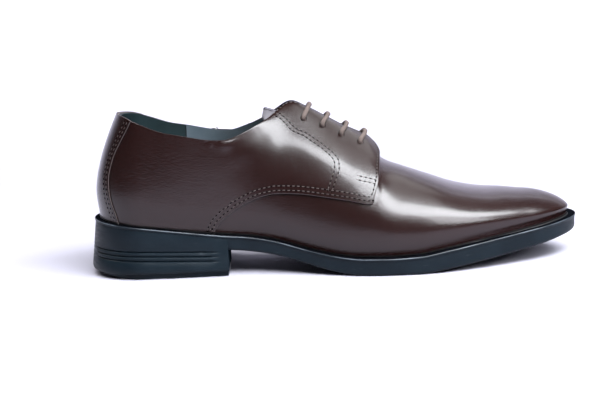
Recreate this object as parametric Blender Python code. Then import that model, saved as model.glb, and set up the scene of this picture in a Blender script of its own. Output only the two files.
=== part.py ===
"""A man's plain derby shoe for the right foot, standing empty on its heel and forepart.

+X runs from the heel to the toe, +Y to the inner side of the foot and +Z up. The origin is on
the floor, under the middle of the round heel. Each piece is one closed solid: the moulded sole
unit, the top piece under its heel, the upper, the tongue, the insole and the lace.
"""

import bisect
import math
from collections import namedtuple

import bmesh
import bpy
from mathutils import Vector

# Sole
SOLE_LENGTH = 0.2986       # from the back of the rim to the toe tip
BALL_WIDTH = 0.1040        # sole, across the ball
HEEL_CENTRE = 0.0322       # from the back of the rim to the middle of the round heel
TOE_REACH = 0.0330         # from the middle of the round toe to the tip
TOE_SQUARE = 0.90          # 1 is an elliptic toe, less is squarer
HEEL_LENGTH = 0.0802       # from the back of the rim to the breast
SEAT_HEIGHT = 0.0340       # top of the sole at the back, above the floor
SOLE_THICKNESS = 0.0100
TOE_SPRING = 0.0150
HEEL_ROUND = 0.07          # share of the heel's height that its lower edge is rounded over
HEEL_SET_BACK = 0.0005     # of the heel's head, under the lip
HEEL_FLARE = 0.0036        # how far the foot of the heel stands out past its head
LIP_DEPTH = 0.0016         # the thin edge along the sole's top
LIP_OVERHANG = 0.0006
EDGE_BEVEL = 0.0016        # along the sole's lower edge
TOP_PIECE_THICKNESS = 0.0026
TOP_PIECE_INSET = 0.0028
REAR_BEVEL = 0.0022        # how far the top piece rises at the back
REAR_BEVEL_START = 0.0020  # behind the heel's resting point
REAR_BEVEL_LENGTH = 0.0280
RIB_COUNT = 3
RIB_DEPTH = 0.0008
RIB_WIDTH = 0.0013
RIB_PITCH = 0.0026
RIB_HEIGHT = 0.0090        # lowest groove, above the floor
RIB_RISE = 0.0032          # how much higher the grooves run at the back
RIB_STOP = 0.0050          # where they end, before the breast

# Upper
THROAT_HEIGHT = 0.0998     # top corner of the facings, above the floor
TOE_HEIGHT = 0.0384        # crest of the toe box, above the floor
COLLAR_HALF_WIDTH = 0.0290
INNER_RISE = 0.0018        # how much higher the inner top line runs
LEDGE = 0.0030             # of the sole, beyond the upper
TUCK = 0.0030              # how far the upper draws in to its lower edge
BULGE_HEIGHT = 0.0160      # the upper's widest line over the sole
UPPER_WALL = 0.0022        # leather and lining
QUARTER_STEP = 0.0013      # the quarters lie on the vamp
QUARTER_SEAT = 0.0006      # how deep their solid reaches into the vamp's
OVERLAY_SHIFT = 0.0004     # how far each layer of the upper is set off at its edges
FACING_LIFT = 0.0056       # how far the facings' front ends stand off the vamp
BACKSTAY_STEP = 0.0008     # the strip over the back seam
BACKSTAY_HALF_WIDTH = 0.0215
BACKSTAY_REACH = 0.0100    # how far forward its solid runs before it is cut
QUARTER_REACH = 0.0060     # how far past FACING_END the quarters' solid runs before it is cut
CUTTER_EXCESS = 0.0300     # how far a cutter stands out past what it cuts
FACING_GAP = 0.0110        # between the two facings
THROAT_START = 0.1232      # facings' top corner, from the back of the rim
THROAT_END = 0.1705        # where the vamp closes under the facings
FACING_END = 0.1755        # front edge of the quarters, from the back of the rim

# Tongue, insole and lace
TONGUE_THICKNESS = 0.0024
TONGUE_HALF_WIDTH = 0.0230
TONGUE_BACK = 0.0200       # how far its free end stands behind the facings
TONGUE_RISE = 0.0042       # how far it climbs behind them
TONGUE_FRONT = 0.1795      # its sewn end, from the back of the rim
TONGUE_CROWN = 0.0008
INSOLE_THICKNESS = 0.0030
LACE_DIAMETER = 0.0025
LACE_ROWS = 4
LACE_PITCH = 0.0112
LACE_START = 0.1294        # first row of eyelets, from the back of the rim
LACE_LEAN = 0.0045         # how far a bar's middle lies in front of its eyelets
EYELET_DIAMETER = 0.0044
EYELET_HALF_SPACING = 0.0155
PUNCH_RISE = 0.0040        # the eyelets' punches, above the facings
PUNCH_DEPTH = 0.0090       # and below them
CLEARANCE = 0.0003         # between pieces that touch
LACE_ROOM = 0.0009         # between the facings' lining and the lace under them

# Fineness of the meshes
HEEL_STEPS = 7
MIDDLE_STEPS = 30
TOE_STEPS = 7
TUCK_STEPS = 2
SIDE_STEPS = 7
EYELET_SIDES = 10
TONGUE_STEPS = 4           # from its middle to its side
TONGUE_LENGTH_STEPS = 12
LOWER_PART = 0.25          # share of the rows below the upper's widest line
SHORTEST_STEP = 0.0020     # between two stations
SLOPE_STEP = 0.004         # share of a profile over which its slope is taken

SoleRow = namedtuple("SoleRow", "at outer inner ridge arch spring thickness")
SOLE_ROWS = [
    # at: share of SOLE_LENGTH from the back; outer, inner: edges, and ridge: the upper's crest
    # line, as shares of BALL_WIDTH from the heel's axis; arch: the underside as a share of
    # SEAT_HEIGHT; spring: and of TOE_SPRING; thickness: share of SOLE_THICKNESS
    SoleRow(0.000, 0.317, 0.317, 0.000, 0.750, 0.000, 0.85),
    SoleRow(0.103, 0.317, 0.317, 0.000, 0.642, 0.000, 0.85),
    SoleRow(0.170, 0.322, 0.313, 0.000, 0.565, 0.000, 0.85),
    SoleRow(0.265, 0.320, 0.286, 0.000, 0.450, 0.000, 0.86),
    SoleRow(0.315, 0.324, 0.270, 0.000, 0.405, 0.000, 0.87),
    SoleRow(0.365, 0.345, 0.266, 0.000, 0.335, 0.000, 0.86),
    SoleRow(0.415, 0.383, 0.289, 0.000, 0.218, 0.000, 0.86),
    SoleRow(0.470, 0.436, 0.338, 0.000, 0.082, 0.000, 0.94),
    SoleRow(0.510, 0.472, 0.382, 0.000, 0.018, 0.000, 0.99),
    SoleRow(0.540, 0.494, 0.414, 0.000, 0.000, 0.000, 1.00),
    SoleRow(0.590, 0.515, 0.458, 0.000, 0.000, 0.000, 1.00),
    SoleRow(0.640, 0.517, 0.481, 0.000, 0.000, 0.000, 1.05),
    SoleRow(0.700, 0.498, 0.485, 0.001, 0.000, 0.110, 1.13),
    SoleRow(0.770, 0.446, 0.460, 0.007, 0.000, 0.290, 1.15),
    SoleRow(0.840, 0.375, 0.408, 0.015, 0.000, 0.480, 1.12),
    SoleRow(0.890, 0.318, 0.360, 0.020, 0.000, 0.625, 1.08),
    SoleRow(0.950, 0.262, 0.304, 0.021, 0.000, 0.830, 1.00),
    SoleRow(1.000, 0.228, 0.270, 0.021, 0.000, 1.000, 0.92),
]

UpperRow = namedtuple("UpperRow", "at margin tuck bulge half_width rise fall swell wall lift")
UPPER_ROWS = [
    # margin: share of LEDGE; tuck: of TUCK; bulge: of BULGE_HEIGHT; half_width: top edge, of
    # COLLAR_HALF_WIDTH; rise: top edge, from TOE_HEIGHT at 0 to THROAT_HEIGHT at 1; fall: how the
    # side leans in, 2 upright, 1 round; swell: how soon it rises, 1.3 straight, 1 round;
    # wall: share of UPPER_WALL under the quarters' own step; lift: share of FACING_LIFT
    UpperRow(0.000, 1.40, 0.65, 1.00, 0.455, 0.932, 2.00, 1.29, 0.50, 0.00),
    UpperRow(0.060, 1.25, 0.65, 1.02, 0.665, 0.913, 2.00, 1.29, 0.50, 0.00),
    UpperRow(0.103, 1.05, 0.70, 1.03, 0.850, 0.860, 2.00, 1.29, 0.50, 0.00),
    UpperRow(0.150, 0.95, 0.80, 1.03, 0.950, 0.773, 2.00, 1.27, 0.50, 0.00),
    UpperRow(0.190, 0.90, 0.90, 1.02, 0.990, 0.731, 1.95, 1.25, 0.50, 0.00),
    UpperRow(0.242, 0.90, 1.00, 1.00, 1.000, 0.682, 1.90, 1.22, 0.50, 0.00),
    UpperRow(0.275, 0.90, 1.00, 0.98, 0.985, 0.673, 1.85, 1.20, 0.50, 0.00),
    UpperRow(0.305, 0.90, 1.00, 0.95, 0.930, 0.710, 1.78, 1.18, 0.50, 0.00),
    UpperRow(0.335, 0.90, 1.00, 0.92, 0.815, 0.773, 1.68, 1.16, 0.50, 0.00),
    UpperRow(0.360, 0.90, 1.00, 0.90, 0.645, 0.831, 1.58, 1.14, 0.50, 0.00),
    UpperRow(0.382, 0.90, 1.00, 0.87, 0.450, 0.908, 1.50, 1.12, 0.50, 0.00),
    UpperRow(0.398, 0.90, 1.00, 0.85, 0.290, 0.960, 1.46, 1.11, 0.50, 0.00),
    UpperRow(0.411, 0.90, 1.00, 0.84, 0.190, 0.979, 1.43, 1.10, 0.50, 0.00),
    UpperRow(0.440, 0.92, 1.00, 0.82, 0.190, 0.922, 1.40, 1.09, 0.50, 0.00),
    UpperRow(0.465, 0.94, 1.00, 0.80, 0.190, 0.855, 1.36, 1.08, 0.52, 0.02),
    UpperRow(0.490, 0.96, 1.00, 0.79, 0.190, 0.776, 1.32, 1.06, 0.56, 0.13),
    UpperRow(0.515, 0.98, 1.00, 0.78, 0.190, 0.685, 1.28, 1.04, 0.62, 0.40),
    UpperRow(0.540, 1.00, 1.00, 0.76, 0.190, 0.600, 1.23, 1.02, 0.70, 0.72),
    UpperRow(0.565, 1.02, 1.00, 0.74, 0.000, 0.515, 1.18, 1.00, 0.80, 1.00),
    UpperRow(0.597, 1.04, 1.00, 0.72, 0.000, 0.384, 1.12, 1.00, 0.92, 1.15),
    UpperRow(0.640, 1.06, 1.00, 0.70, 0.000, 0.300, 1.06, 1.00, 1.00, 1.20),
    UpperRow(0.692, 1.08, 1.00, 0.66, 0.000, 0.207, 1.02, 1.00, 1.00, 1.20),
    UpperRow(0.745, 1.12, 1.00, 0.60, 0.000, 0.115, 1.02, 1.00, 1.00, 1.20),
    UpperRow(0.800, 1.20, 0.95, 0.53, 0.000, 0.060, 1.04, 1.00, 1.00, 1.20),
    UpperRow(0.845, 1.30, 0.90, 0.47, 0.000, 0.044, 1.08, 1.06, 1.00, 1.20),
    UpperRow(0.889, 1.40, 0.85, 0.42, 0.000, 0.020, 1.12, 1.16, 1.00, 1.20),
    UpperRow(0.950, 1.50, 0.75, 0.36, 0.000, 0.000, 1.14, 1.36, 1.00, 1.20),
    UpperRow(1.000, 1.60, 0.70, 0.32, 0.000, 0.000, 1.15, 1.46, 1.00, 1.20),
]

EdgeRow = namedtuple("EdgeRow", "at height")
QUARTER_EDGE_ROWS = [
    # The quarters' free edge in side view, from the sole round the front to the throat.
    # at: share of FACING_END from the back of the rim; height: share of THROAT_HEIGHT
    EdgeRow(0.415, 0.150),
    EdgeRow(0.427, 0.265),
    EdgeRow(0.452, 0.330),
    EdgeRow(0.484, 0.373),
    EdgeRow(0.515, 0.409),
    EdgeRow(0.545, 0.436),
    EdgeRow(0.576, 0.458),
    EdgeRow(0.607, 0.471),
    EdgeRow(0.641, 0.478),
    EdgeRow(0.714, 0.474),
    EdgeRow(0.788, 0.458),
    EdgeRow(0.872, 0.436),
    EdgeRow(0.942, 0.414),
    EdgeRow(0.957, 0.453),
    EdgeRow(0.976, 0.542),
    EdgeRow(0.990, 0.644),
    EdgeRow(0.998, 0.692),
    EdgeRow(0.997, 0.722),
    EdgeRow(0.986, 0.752),
    EdgeRow(0.965, 0.785),
]

BackstayRow = namedtuple("BackstayRow", "height half_width")
BACKSTAY_ROWS = [
    # height: share of THROAT_HEIGHT; half_width: share of BACKSTAY_HALF_WIDTH
    BackstayRow(0.30, 1.20),
    BackstayRow(0.40, 1.16),
    BackstayRow(0.50, 1.10),
    BackstayRow(0.60, 1.02),
    BackstayRow(0.70, 1.00),
    BackstayRow(0.80, 1.05),
    BackstayRow(0.90, 1.12),
    BackstayRow(1.05, 1.20),
]


def columns(rows):
    """Turns a table's rows into one list for each named column."""
    return {name: [row._asdict()[name] for row in rows] for name in rows[0]._fields}


SOLE = columns(SOLE_ROWS)
UPPER = columns(UPPER_ROWS)

Station = namedtuple("Station", "side rim spine at")


def read(table, column, at):
    """Reads a column anywhere along its length, on a smooth curve through the rows."""
    places = table["at"]
    values = table[column]
    at = min(max(at, places[0]), places[-1])
    last = len(places) - 1
    low = min(bisect.bisect_right(places, at) - 1, last - 1)
    span = places[low + 1] - places[low]
    part = (at - places[low]) / span
    slopes = []
    for row in (low, low + 1):
        before = max(row - 1, 0)
        after = min(row + 1, last)
        steep = (values[after] - values[before]) / (places[after] - places[before])
        back = (values[row] - values[before]) * (values[after] - values[row])
        slopes.append(0.0 if back <= 0.0 and before < row < after else steep * span)
    start, end = values[low], values[low + 1]
    curve = part * part * (3.0 - 2.0 * part)
    bend = slopes[0] * part * (1.0 - part) ** 2 - slopes[1] * part * part * (1.0 - part)
    return start + (end - start) * curve + bend


def share(x):
    """Share of the sole's length that lies behind x."""
    return (x + HEEL_CENTRE) / SOLE_LENGTH


def along(length):
    """X of a place measured from the back of the rim."""
    return length - HEEL_CENTRE


TOE_X = along(SOLE_LENGTH - TOE_REACH)
BREAST_X = along(HEEL_LENGTH)


def edge(side, x):
    """Y of the sole's edge on one side, -1 outer and 1 inner, before the toe is rounded."""
    return side * BALL_WIDTH * read(SOLE, "outer" if side < 0 else "inner", share(x))


def ridge(x):
    """Y of the line that the upper's crest follows."""
    return BALL_WIDTH * read(SOLE, "ridge", share(x))


def sole_bottom(x):
    """Height of the sole's underside, without the heel."""
    at = share(x)
    return SEAT_HEIGHT * read(SOLE, "arch", at) + TOE_SPRING * read(SOLE, "spring", at)


def sole_top(x):
    """Height of the sole's upper face."""
    return sole_bottom(x) + SOLE_THICKNESS * read(SOLE, "thickness", share(x))


def heel_station(side, turn):
    """A place on the round heel; turn 0 is the back and 1 the side."""
    angle = turn * math.pi / 2
    x = -HEEL_CENTRE * math.cos(angle)
    rim = Vector((x, edge(side, x) * math.sin(angle)))
    return Station(side, rim, Vector((0.0, 0.0)), share(x))


def middle_station(side, x):
    """A place on the long side of the shoe."""
    return Station(side, Vector((x, edge(side, x))), Vector((x, ridge(x))), share(x))


def toe_station(side, turn):
    """A place on the round toe; turn 0 is the side and 1 the tip."""
    angle = turn * math.pi / 2
    x = TOE_X + TOE_REACH * math.sin(angle) ** TOE_SQUARE
    middle = ridge(TOE_X)
    y = middle + (edge(side, x) - middle) * math.cos(angle) ** TOE_SQUARE
    return Station(side, Vector((x, y)), Vector((TOE_X, middle)), share(x))


def side_stations(side, end=None):
    """Places along one side, from the back to the toe or to the x given as the end."""
    stations = [heel_station(side, step / HEEL_STEPS) for step in range(HEEL_STEPS + 1)]
    for step in range(1, MIDDLE_STEPS + 1):
        x = TOE_X * step / MIDDLE_STEPS
        if end is not None and x > end - SHORTEST_STEP:
            stations.append(middle_station(side, end))
            return stations
        stations.append(middle_station(side, x))
    stations += [toe_station(side, step / TOE_STEPS) for step in range(1, TOE_STEPS + 1)]
    return stations


def loop_stations():
    """Places all round the shoe: forward along the outer side and back along the inner one."""
    return side_stations(-1) + side_stations(1)[-2:0:-1]


def chain_stations(end):
    """Places round the heel, from an x on the outer side to the same x on the inner one."""
    return side_stations(-1, end)[::-1] + side_stations(1, end)[1:]


def plan(station, inset):
    """The point that lies so far inside the rim."""
    inward = (station.spine - station.rim).normalized()
    return station.rim + inward * inset


def top_half_width(station, facing=False):
    """How far from the crest line the top edge lies; 0 where the vamp under it is closed."""
    if station.at >= THROAT_END / SOLE_LENGTH and not facing:
        return 0.0
    if station.at > THROAT_START / SOLE_LENGTH:
        return FACING_GAP / 2
    return COLLAR_HALF_WIDTH * read(UPPER, "half_width", station.at)


def top_height(station):
    """Height of the upper's top edge or crest."""
    at = min(station.at, share(TOE_X))
    height = TOE_HEIGHT + (THROAT_HEIGHT - TOE_HEIGHT) * read(UPPER, "rise", at)
    if station.side > 0 and at < THROAT_START / SOLE_LENGTH:
        height += INNER_RISE * math.sin(math.pi * at * SOLE_LENGTH / THROAT_START) ** 2
    return height


def upper_profile(station, row, facing=False):
    """How far inside the rim and how high the vamp's surface is, from its lower edge, row 0,
    to its top edge, row 1, or to the edge of the facing over it."""
    at = station.at
    margin = LEDGE * read(UPPER, "margin", at)
    tuck = TUCK * read(UPPER, "tuck", at)
    widest = BULGE_HEIGHT * read(UPPER, "bulge", at)
    foot = sole_top(plan(station, margin + tuck).x) + CLEARANCE
    if row < LOWER_PART:
        part = row / LOWER_PART
        return margin + tuck * (1.0 - part) ** 2, foot + widest * part
    run = (station.rim - station.spine).length - margin - top_half_width(station, facing)
    angle = (row - LOWER_PART) / (1.0 - LOWER_PART) * math.pi / 2
    lean = 1.0 - math.cos(angle) ** read(UPPER, "fall", at)
    rise = math.sin(angle) ** read(UPPER, "swell", at)
    return margin + run * lean, foot + widest + (top_height(station) - foot - widest) * rise


def upper_point(station, row, layer, overlay=0):
    """A point of the upper, the given distance outside the vamp's surface. Each overlay starts
    a little higher than what it lies on and ends a little further up."""
    facing = overlay > 0
    inset, height = upper_profile(station, row, facing)
    if row <= 0.0:
        place = plan(station, inset - layer)
        foot = sole_top(place.x) + CLEARANCE + overlay * OVERLAY_SHIFT
        return Vector((place.x, place.y, foot))
    before = upper_profile(station, max(row - SLOPE_STEP, 0.0), facing)
    after = upper_profile(station, min(row + SLOPE_STEP, 1.0), facing)
    slope = Vector((after[0] - before[0], after[1] - before[1])).normalized()
    if row >= 1.0 and top_half_width(station, facing) == 0.0:
        slope = Vector((1.0, 0.0))
    further = overlay * OVERLAY_SHIFT if row >= 1.0 else 0.0
    place = plan(station, inset - slope.y * layer + slope.x * further)
    return Vector((place.x, place.y, height + slope.x * layer + slope.y * further))


def wall_at(station):
    """Thickness of the upper's wall without the quarters' step."""
    return UPPER_WALL * read(UPPER, "wall", station.at)


def lift_at(station, row):
    """How far the facings stand off the vamp."""
    return FACING_LIFT * read(UPPER, "lift", station.at) * max(row, 0.0) ** 4


def upper_rows():
    """Shares of the way up the upper where its points lie."""
    rows = [LOWER_PART * step / TUCK_STEPS for step in range(TUCK_STEPS)]
    for step in range(SIDE_STEPS + 1):
        rows.append(LOWER_PART + (1.0 - LOWER_PART) * step / SIDE_STEPS)
    return rows


def make_clean(mesh_data, mesh):
    """Writes a bmesh to a mesh, in triangles, without points that lie on each other."""
    bmesh.ops.remove_doubles(mesh_data, verts=mesh_data.verts, dist=1e-6)
    bmesh.ops.dissolve_degenerate(mesh_data, dist=1e-6, edges=mesh_data.edges)
    bmesh.ops.triangulate(mesh_data, faces=mesh_data.faces)
    bmesh.ops.recalc_face_normals(mesh_data, faces=mesh_data.faces)
    mesh_data.to_mesh(mesh)
    mesh_data.free()


def add_object(name, mesh_data, material):
    """Makes an object of a bmesh, with its own material."""
    mesh = bpy.data.meshes.new(name)
    make_clean(mesh_data, mesh)
    if material is not None:
        mesh.materials.append(material)
    mesh.shade_smooth()
    mesh.set_sharp_from_angle(angle=math.radians(35))
    item = bpy.data.objects.new(name, mesh)
    bpy.context.scene.collection.objects.link(item)
    return item


def add_material(name, colour, roughness, coat=0.0):
    """A plain finish."""
    material = bpy.data.materials.new(name)
    material.use_nodes = True
    finish = material.node_tree.nodes["Principled BSDF"]
    finish.inputs["Base Color"].default_value = (*colour, 1.0)
    finish.inputs["Roughness"].default_value = roughness
    finish.inputs["Metallic"].default_value = 0.0
    finish.inputs["Coat Weight"].default_value = coat
    return material


def add_wall(name, outer, inner, looped, material=None, closed_tops=()):
    """A closed wall between two grids of points, each a list of rows at every station; the
    stations whose tops meet at the crest are numbered."""
    mesh = bmesh.new()
    outside = [[mesh.verts.new(point) for point in line] for line in outer]
    inside = [[mesh.verts.new(point) for point in line] for line in inner]
    count = len(outer)
    rows = len(outer[0])
    for near in range(count if looped else count - 1):
        far = (near + 1) % count
        for row in range(rows - 1):
            above = row + 1
            mesh.faces.new((outside[near][row], outside[far][row],
                            outside[far][above], outside[near][above]))
            mesh.faces.new((inside[near][above], inside[far][above],
                            inside[far][row], inside[near][row]))
        mesh.faces.new((inside[near][0], inside[far][0], outside[far][0], outside[near][0]))
        if near not in closed_tops or far not in closed_tops:
            mesh.faces.new((outside[near][-1], outside[far][-1], inside[far][-1], inside[near][-1]))
    if not looped:
        for end in (0, count - 1):
            for row in range(rows - 1):
                mesh.faces.new((outside[end][row], outside[end][row + 1],
                                inside[end][row + 1], inside[end][row]))
    return add_object(name, mesh, material)


def add_stack(name, rings, material=None):
    """A closed solid of rings, from its lower face up; each ring runs round in pairs of points,
    the first at the back, so that its faces are closed by strips from side to side."""
    mesh = bmesh.new()
    levels = [[mesh.verts.new(point) for point in ring] for ring in rings]
    count = len(rings[0])
    for low, high in zip(levels, levels[1:]):
        for near in range(count):
            far = (near + 1) % count
            mesh.faces.new((low[near], low[far], high[far], high[near]))
    for level in (levels[0], levels[-1]):
        for near in range(count // 2):
            left = level[near], level[near + 1]
            right = level[-near - 1], level[-near]
            mesh.faces.new(dict.fromkeys((*left, *right)))
    return add_object(name, mesh, material)


def add_prism(name, outline, direction, low, high):
    """A cutter: an outline in the plane across a direction, drawn out from low to high."""
    mesh = bmesh.new()
    near = [mesh.verts.new(point + direction * low) for point in outline]
    far = [mesh.verts.new(point + direction * high) for point in outline]
    mesh.faces.new(near[::-1])
    mesh.faces.new(far)
    for index in range(len(outline)):
        after = (index + 1) % len(outline)
        mesh.faces.new((near[index], near[after], far[after], far[index]))
    return add_object(name, mesh, None)


def apply_boolean(item, tool, operation):
    """Joins, cuts or crosses a piece with another and removes the other."""
    cut = item.modifiers.new(operation.title(), "BOOLEAN")
    cut.operation = operation
    cut.solver = "EXACT"
    cut.object = tool
    bpy.context.view_layer.update()
    graph = bpy.context.evaluated_depsgraph_get()
    mesh = bpy.data.meshes.new_from_object(item.evaluated_get(graph))
    mesh_data = bmesh.new()
    mesh_data.from_mesh(mesh)
    make_clean(mesh_data, mesh)
    item.modifiers.clear()
    old = item.data
    item.data = mesh
    bpy.data.meshes.remove(old)
    bpy.data.objects.remove(tool)


def smooth_line(points, steps):
    """Points on a smooth curve through the given ones."""
    line = []
    last = len(points) - 1
    for low in range(last):
        before = points[max(low - 1, 0)]
        after = points[min(low + 2, last)]
        for step in range(steps):
            part = step / steps
            square, cube = part * part, part ** 3
            line.append(0.5 * (2.0 * points[low] + (points[low + 1] - before) * part
                               + (2.0 * before - 5.0 * points[low] + 4.0 * points[low + 1]
                                  - after) * square
                               + (3.0 * points[low] - before - 3.0 * points[low + 1]
                                  + after) * cube))
    line.append(points[-1])
    return line


def ring(stations, inset, height):
    """Points round the shoe at an inset, whose height is a function of x."""
    points = []
    for station in stations:
        place = plan(station, inset)
        points.append(Vector((place.x, place.y, height(place.x))))
    return points


def build_sole(material):
    """The moulded sole unit: plate, lip and heel block with its grooves."""
    stations = loop_stations()
    levels = [
        (LIP_OVERHANG + EDGE_BEVEL, sole_bottom),
        (LIP_OVERHANG, lambda x: sole_bottom(x) + EDGE_BEVEL),
        (LIP_OVERHANG, lambda x: sole_top(x) - LIP_DEPTH - LIP_OVERHANG),
        (0.0, lambda x: sole_top(x) - LIP_DEPTH),
        (0.0, lambda x: sole_top(x) - LIP_DEPTH / 4),
        (LIP_DEPTH / 4, sole_top),
    ]
    sole = add_stack("sole_unit", [ring(stations, inset, height) for inset, height in levels],
                     material)
    heel = build_heel_block()
    apply_boolean(sole, heel, "UNION")
    return sole


def heel_ring(stations, drop, inset):
    """A ring of the heel block: drop 0 is its head under the lip and 1 its foot."""
    points = []
    for station in stations:
        head = sole_top(station.rim.x) - LIP_DEPTH
        level = head + (TOP_PIECE_THICKNESS + CLEARANCE - head) * drop
        place = plan(station, HEEL_SET_BACK - HEEL_FLARE * drop + inset)
        x = BREAST_X if station.rim.x > BREAST_X - 1e-6 else place.x
        points.append(Vector((x, place.y, level)))
    return points


def groove_drop(station, height):
    """How far down the heel block a height above the floor lies."""
    head = sole_top(station.rim.x) - LIP_DEPTH
    return (head - height) / (head - TOP_PIECE_THICKNESS - CLEARANCE)


def build_heel_block():
    """The heel under the plate, closed at the breast."""
    stations = chain_stations(BREAST_X)
    half = len(stations) // 2
    order = stations[half:] + stations[:half]
    rings = [heel_ring(order, 1.0, EDGE_BEVEL), heel_ring(order, 1.0 - HEEL_ROUND, 0.0)]
    for groove in range(RIB_COUNT):
        for part, depth in ((-0.5, 0.0), (-0.22, 1.0), (0.22, 1.0), (0.5, 0.0)):
            points = []
            for station in order:
                back = 1.0 - min(max(station.rim.x + HEEL_CENTRE, 0.0), HEEL_LENGTH) / HEEL_LENGTH
                height = RIB_HEIGHT + groove * RIB_PITCH + RIB_RISE * back + part * RIB_WIDTH
                fade = min(max((BREAST_X - station.rim.x) / RIB_STOP - 1.0, 0.0), 1.0)
                drop = groove_drop(station, height)
                points += heel_ring([station], drop, RIB_DEPTH * depth * fade)
            rings.append(points)
    rings.append(heel_ring(order, 0.0, 0.0))
    down = Vector((0.0, 0.0, SOLE_THICKNESS / 4))
    rings.append([point - down for point in heel_ring(order, 0.0, SOLE_THICKNESS / 2)])
    return add_stack("heel_block", rings)


def build_top_piece(material):
    """The wear plate under the heel."""
    stations = chain_stations(BREAST_X)
    half = len(stations) // 2
    order = stations[half:] + stations[:half]
    rings = []
    chamfer = TOP_PIECE_THICKNESS / 4
    for height, inset in ((0.0, TOP_PIECE_INSET + chamfer), (chamfer, TOP_PIECE_INSET),
                          (TOP_PIECE_THICKNESS, TOP_PIECE_INSET)):
        points = []
        for point in heel_ring(order, 1.0, inset):
            back = min(max((-point.x - REAR_BEVEL_START) / REAR_BEVEL_LENGTH, 0.0), 1.0)
            rise = (TOP_PIECE_THICKNESS - height) / TOP_PIECE_THICKNESS * REAR_BEVEL * back
            x = min(point.x, BREAST_X - CLEARANCE - inset / 4)
            points.append(Vector((x, point.y, height + rise)))
        rings.append(points)
    return add_stack("heel_top_piece", rings, material)


def build_vamp(material):
    """The lasted wall of the upper, open at the collar, at the throat and underneath."""
    stations = loop_stations()
    rows = upper_rows()
    outer = [[upper_point(station, row, 0.0) for row in rows] for station in stations]
    inner = [[upper_point(station, row, -wall_at(station)) for row in rows]
             for station in stations]
    closed = [index for index, station in enumerate(stations) if top_half_width(station) == 0.0]
    return add_wall("upper", outer, inner, True, material, closed)


def build_quarters():
    """The quarters' solid, cut to their outline from the side."""
    stations = chain_stations(along(FACING_END) + QUARTER_REACH)
    rows = upper_rows()
    outer = []
    inner = []
    for station in stations:
        outer.append([upper_point(station, row, lift_at(station, row) + QUARTER_STEP, 1)
                      for row in rows])
        inner.append([upper_point(station, row, lift_at(station, row) - QUARTER_SEAT, 1)
                      for row in rows])
    quarters = add_wall("quarters", outer, inner, False)
    edge_points = [Vector((along(FACING_END * row.at), 0.0, THROAT_HEIGHT * row.height))
                   for row in QUARTER_EDGE_ROWS]
    behind = along(-CUTTER_EXCESS)
    above = THROAT_HEIGHT + CUTTER_EXCESS
    outline = smooth_line(edge_points, 3)
    outline.append(Vector((outline[-1].x - CUTTER_EXCESS, 0.0, above)))
    outline.append(Vector((behind, 0.0, above)))
    outline.append(Vector((behind, 0.0, 0.0)))
    outline.append(Vector((outline[0].x, 0.0, 0.0)))
    reach = BALL_WIDTH / 2 + CUTTER_EXCESS
    outline_tool = add_prism("quarter_outline", outline, Vector((0.0, 1.0, 0.0)), -reach, reach)
    apply_boolean(quarters, outline_tool, "INTERSECT")
    return quarters


def build_backstay():
    """The strip over the back seam, cut to its outline from behind."""
    stations = chain_stations(BACKSTAY_REACH)
    rows = upper_rows()
    raised = QUARTER_STEP + BACKSTAY_STEP
    outer = [[upper_point(station, row, raised, 2) for row in rows] for station in stations]
    inner = [[upper_point(station, row, 0.0, 2) for row in rows] for station in stations]
    strip = add_wall("backstay", outer, inner, False)
    side = [Vector((0.0, BACKSTAY_HALF_WIDTH * row.half_width, THROAT_HEIGHT * row.height))
            for row in BACKSTAY_ROWS]
    side = smooth_line(side, 2)
    outline = side + [Vector((0.0, -point.y, point.z)) for point in side[::-1]]
    reach = HEEL_CENTRE + CUTTER_EXCESS
    outline_tool = add_prism("backstay_outline", outline, Vector((1.0, 0.0, 0.0)), -reach, 0.0)
    apply_boolean(strip, outline_tool, "INTERSECT")
    return strip


def facing_row(station, across):
    """How far up the profile a distance from the crest line is reached."""
    margin = LEDGE * read(UPPER, "margin", station.at)
    reach = (station.rim - station.spine).length
    half_gap = min(top_half_width(station, True), across)
    lean = (reach - across - margin) / (reach - margin - half_gap)
    angle = math.acos(max(1.0 - lean, 0.0) ** (1.0 / read(UPPER, "fall", station.at)))
    return LOWER_PART + (1.0 - LOWER_PART) * angle / (math.pi / 2)


def facing_point(side, x, across, layer):
    """A point over the facings, the given distance outside their surface."""
    station = middle_station(side, x)
    row = facing_row(station, max(across, FACING_GAP / 2))
    outside = lift_at(station, row) + QUARTER_STEP + layer
    return upper_point(station, row, outside, 1)


def eyelet_x(number):
    """X of a row of eyelets, counted from the ankle."""
    return along(LACE_START + number * LACE_PITCH)


def build_eyelets():
    """The punches that cut the lace holes."""
    mesh = bmesh.new()
    for number in range(LACE_ROWS):
        for side in (-1, 1):
            top = facing_point(side, eyelet_x(number), EYELET_HALF_SPACING, PUNCH_RISE)
            foot = facing_point(side, eyelet_x(number), EYELET_HALF_SPACING, -PUNCH_DEPTH)
            turn = (top - foot).to_track_quat("Z", "X").to_matrix().to_4x4()
            turn.translation = (top + foot) / 2
            bmesh.ops.create_cone(mesh, cap_ends=True, segments=EYELET_SIDES,
                                  radius1=EYELET_DIAMETER / 2, radius2=EYELET_DIAMETER / 2,
                                  depth=(top - foot).length, matrix=turn)
    return add_object("eyelet_punches", mesh, None)


def build_upper(material):
    """Vamp, quarters and backstay as one hollow solid, with its eyelets."""
    upper = build_vamp(material)
    apply_boolean(upper, build_quarters(), "UNION")
    apply_boolean(upper, build_backstay(), "UNION")
    apply_boolean(upper, build_eyelets(), "DIFFERENCE")
    return upper


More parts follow.
